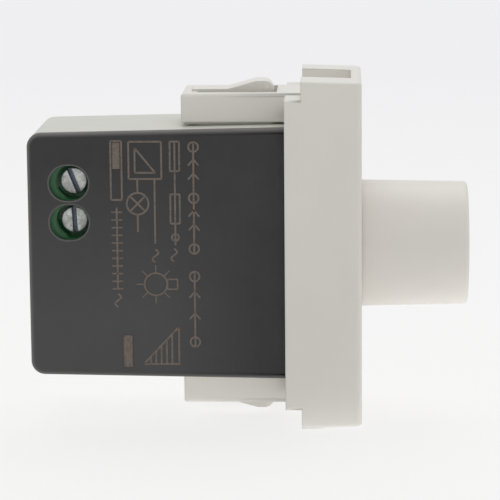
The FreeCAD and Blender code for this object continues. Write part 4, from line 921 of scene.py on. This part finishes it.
low, high = cad_box
floor_level = low[2] - 0.02 * MM
floor_mesh = bpy.data.meshes.new("studio_floor")
floor_mesh.from_pydata([(TABLE_REACH * x, TABLE_REACH * y, floor_level)
                        for x, y in ((-1, -1), (1, -1), (1, 1), (-1, 1))], [], [(0, 1, 2, 3)])
table = Finish("table_white", Specular_IOR_Level=0.1)
# The table is painted darker towards the back, as painted shade on the floor.
white = table.blend(table.spread(table.along("Y"), 0, 1, 0.0, 0.45), TABLE_WHITE, TABLE_FAR)
white = table.blend(table.spread(table.noise(0.4), 0, 0.02), white, shade(TABLE_FAR, 0.98))
seen = table.node("LightPath").outputs["Is Camera Ray"]
table.wear(table.blend(seen, white, shade(TABLE_WHITE, SHADOW_SHARE ** 0.45)),
           table.spread(table.noise(0.004), 0.85, 0.95), table.relief(table.noise(0.0006), 0.00001))
table.feed(table.shader.inputs["Emission Color"], white)
table.feed(table.shader.inputs["Emission Strength"], table.spread(seen, 0, 1 - SHADOW_SHARE * 0.8, 0, 1))
floor_mesh.materials.append(table.material)
floor = bpy.data.objects.new("studio_floor", floor_mesh)
bpy.context.scene.collection.objects.link(floor)

lamp = bpy.data.lights.new("overhead", "SUN")
lamp.energy = np.pi * OVERHEAD_LIGHT
lamp.angle = OVERHEAD_ANGLE
lamp.color = (0.98, 1.0, 1.0)
overhead = bpy.data.objects.new("overhead", lamp)
overhead.rotation_euler = (OVERHEAD_TILT, 0, 0)
bpy.context.scene.collection.objects.link(overhead)

glow = bpy.data.lights.new("table_glow", "AREA")
glow.shape = "RECTANGLE"
glow.size, glow.size_y = GLOW_LENGTH, GLOW_DEPTH
glow.energy = np.pi * TABLE_GLOW * glow.size * glow.size_y
under = bpy.data.objects.new("table_glow", glow)
under.location = (*GLOW_PLACE, floor_level + 0.1 * MM)
under.rotation_euler = (np.pi, 0, 0)
under.visible_camera = under.visible_glossy = under.visible_transmission = False
bpy.context.scene.collection.objects.link(under)

world = bpy.data.worlds.new("studio")
world.use_nodes = True
bpy.context.scene.world = world
tree = world.node_tree
dome = tree.nodes["Background"]
dome.inputs["Color"].default_value = (1.0, 0.985, 0.965, 1.0)
backdrop = tree.nodes.new("ShaderNodeBackground")
backdrop.inputs["Color"].default_value = paint(*TABLE_WHITE)
way = tree.nodes.new("ShaderNodeVectorMath")
way.operation = "DOT_PRODUCT"
way.inputs[1].default_value = DOME_POLE
tree.links.new(tree.nodes.new("ShaderNodeTexCoord").outputs["Generated"], way.inputs[0])
for light, ends in ((dome, (DOME_LOW, DOME_HIGH)), (backdrop, (DOME_LOW / DOME_HIGH, 1.0))):
    level = tree.nodes.new("ShaderNodeMapRange")
    for socket, value in zip(("From Min", "From Max", "To Min", "To Max"), (-0.5, 1.0, *ends)):
        level.inputs[socket].default_value = value
    tree.links.new(way.outputs["Value"], level.inputs["Value"])
    tree.links.new(level.outputs["Result"], light.inputs["Strength"])
ray = tree.nodes.new("ShaderNodeLightPath")
mirrored = tree.nodes.new("ShaderNodeMath")
mirrored.operation = "MAXIMUM"
shown = tree.nodes.new("ShaderNodeMath")
shown.operation = "MAXIMUM"
mix = tree.nodes.new("ShaderNodeMixShader")
tree.links.new(ray.outputs["Is Camera Ray"], mirrored.inputs[0])
tree.links.new(ray.outputs["Is Glossy Ray"], mirrored.inputs[1])
tree.links.new(mirrored.outputs[0], shown.inputs[0])
tree.links.new(ray.outputs["Is Transmission Ray"], shown.inputs[1])
tree.links.new(shown.outputs[0], mix.inputs[0])
tree.links.new(dome.outputs[0], mix.inputs[1])
tree.links.new(backdrop.outputs[0], mix.inputs[2])
tree.links.new(mix.outputs[0], tree.nodes["World Output"].inputs["Surface"])

back = np.array([np.sin(AZIMUTH) * np.cos(ELEVATION), -np.cos(AZIMUTH) * np.cos(ELEVATION),
                 np.sin(ELEVATION)])
right = np.array([np.cos(AZIMUTH), np.sin(AZIMUTH), 0])
up = np.cross(back, right)
tilted_right = right * np.cos(ROLL) + up * np.sin(ROLL)
tilted_up = up * np.cos(ROLL) - right * np.sin(ROLL)
lens = bpy.data.cameras.new("camera")
lens.lens = FOCAL_LENGTH
lens.sensor_width = 36
camera = bpy.data.objects.new("camera", lens)
bpy.context.scene.collection.objects.link(camera)
pose = np.eye(4)
pose[:3, 0], pose[:3, 1], pose[:3, 2], pose[:3, 3] = tilted_right, tilted_up, back, AIM + back * DISTANCE
camera.matrix_world = Matrix(pose.tolist())
bpy.context.scene.camera = camera
bpy.context.scene.view_settings.view_transform = "Standard"

bpy.context.view_layer.update()
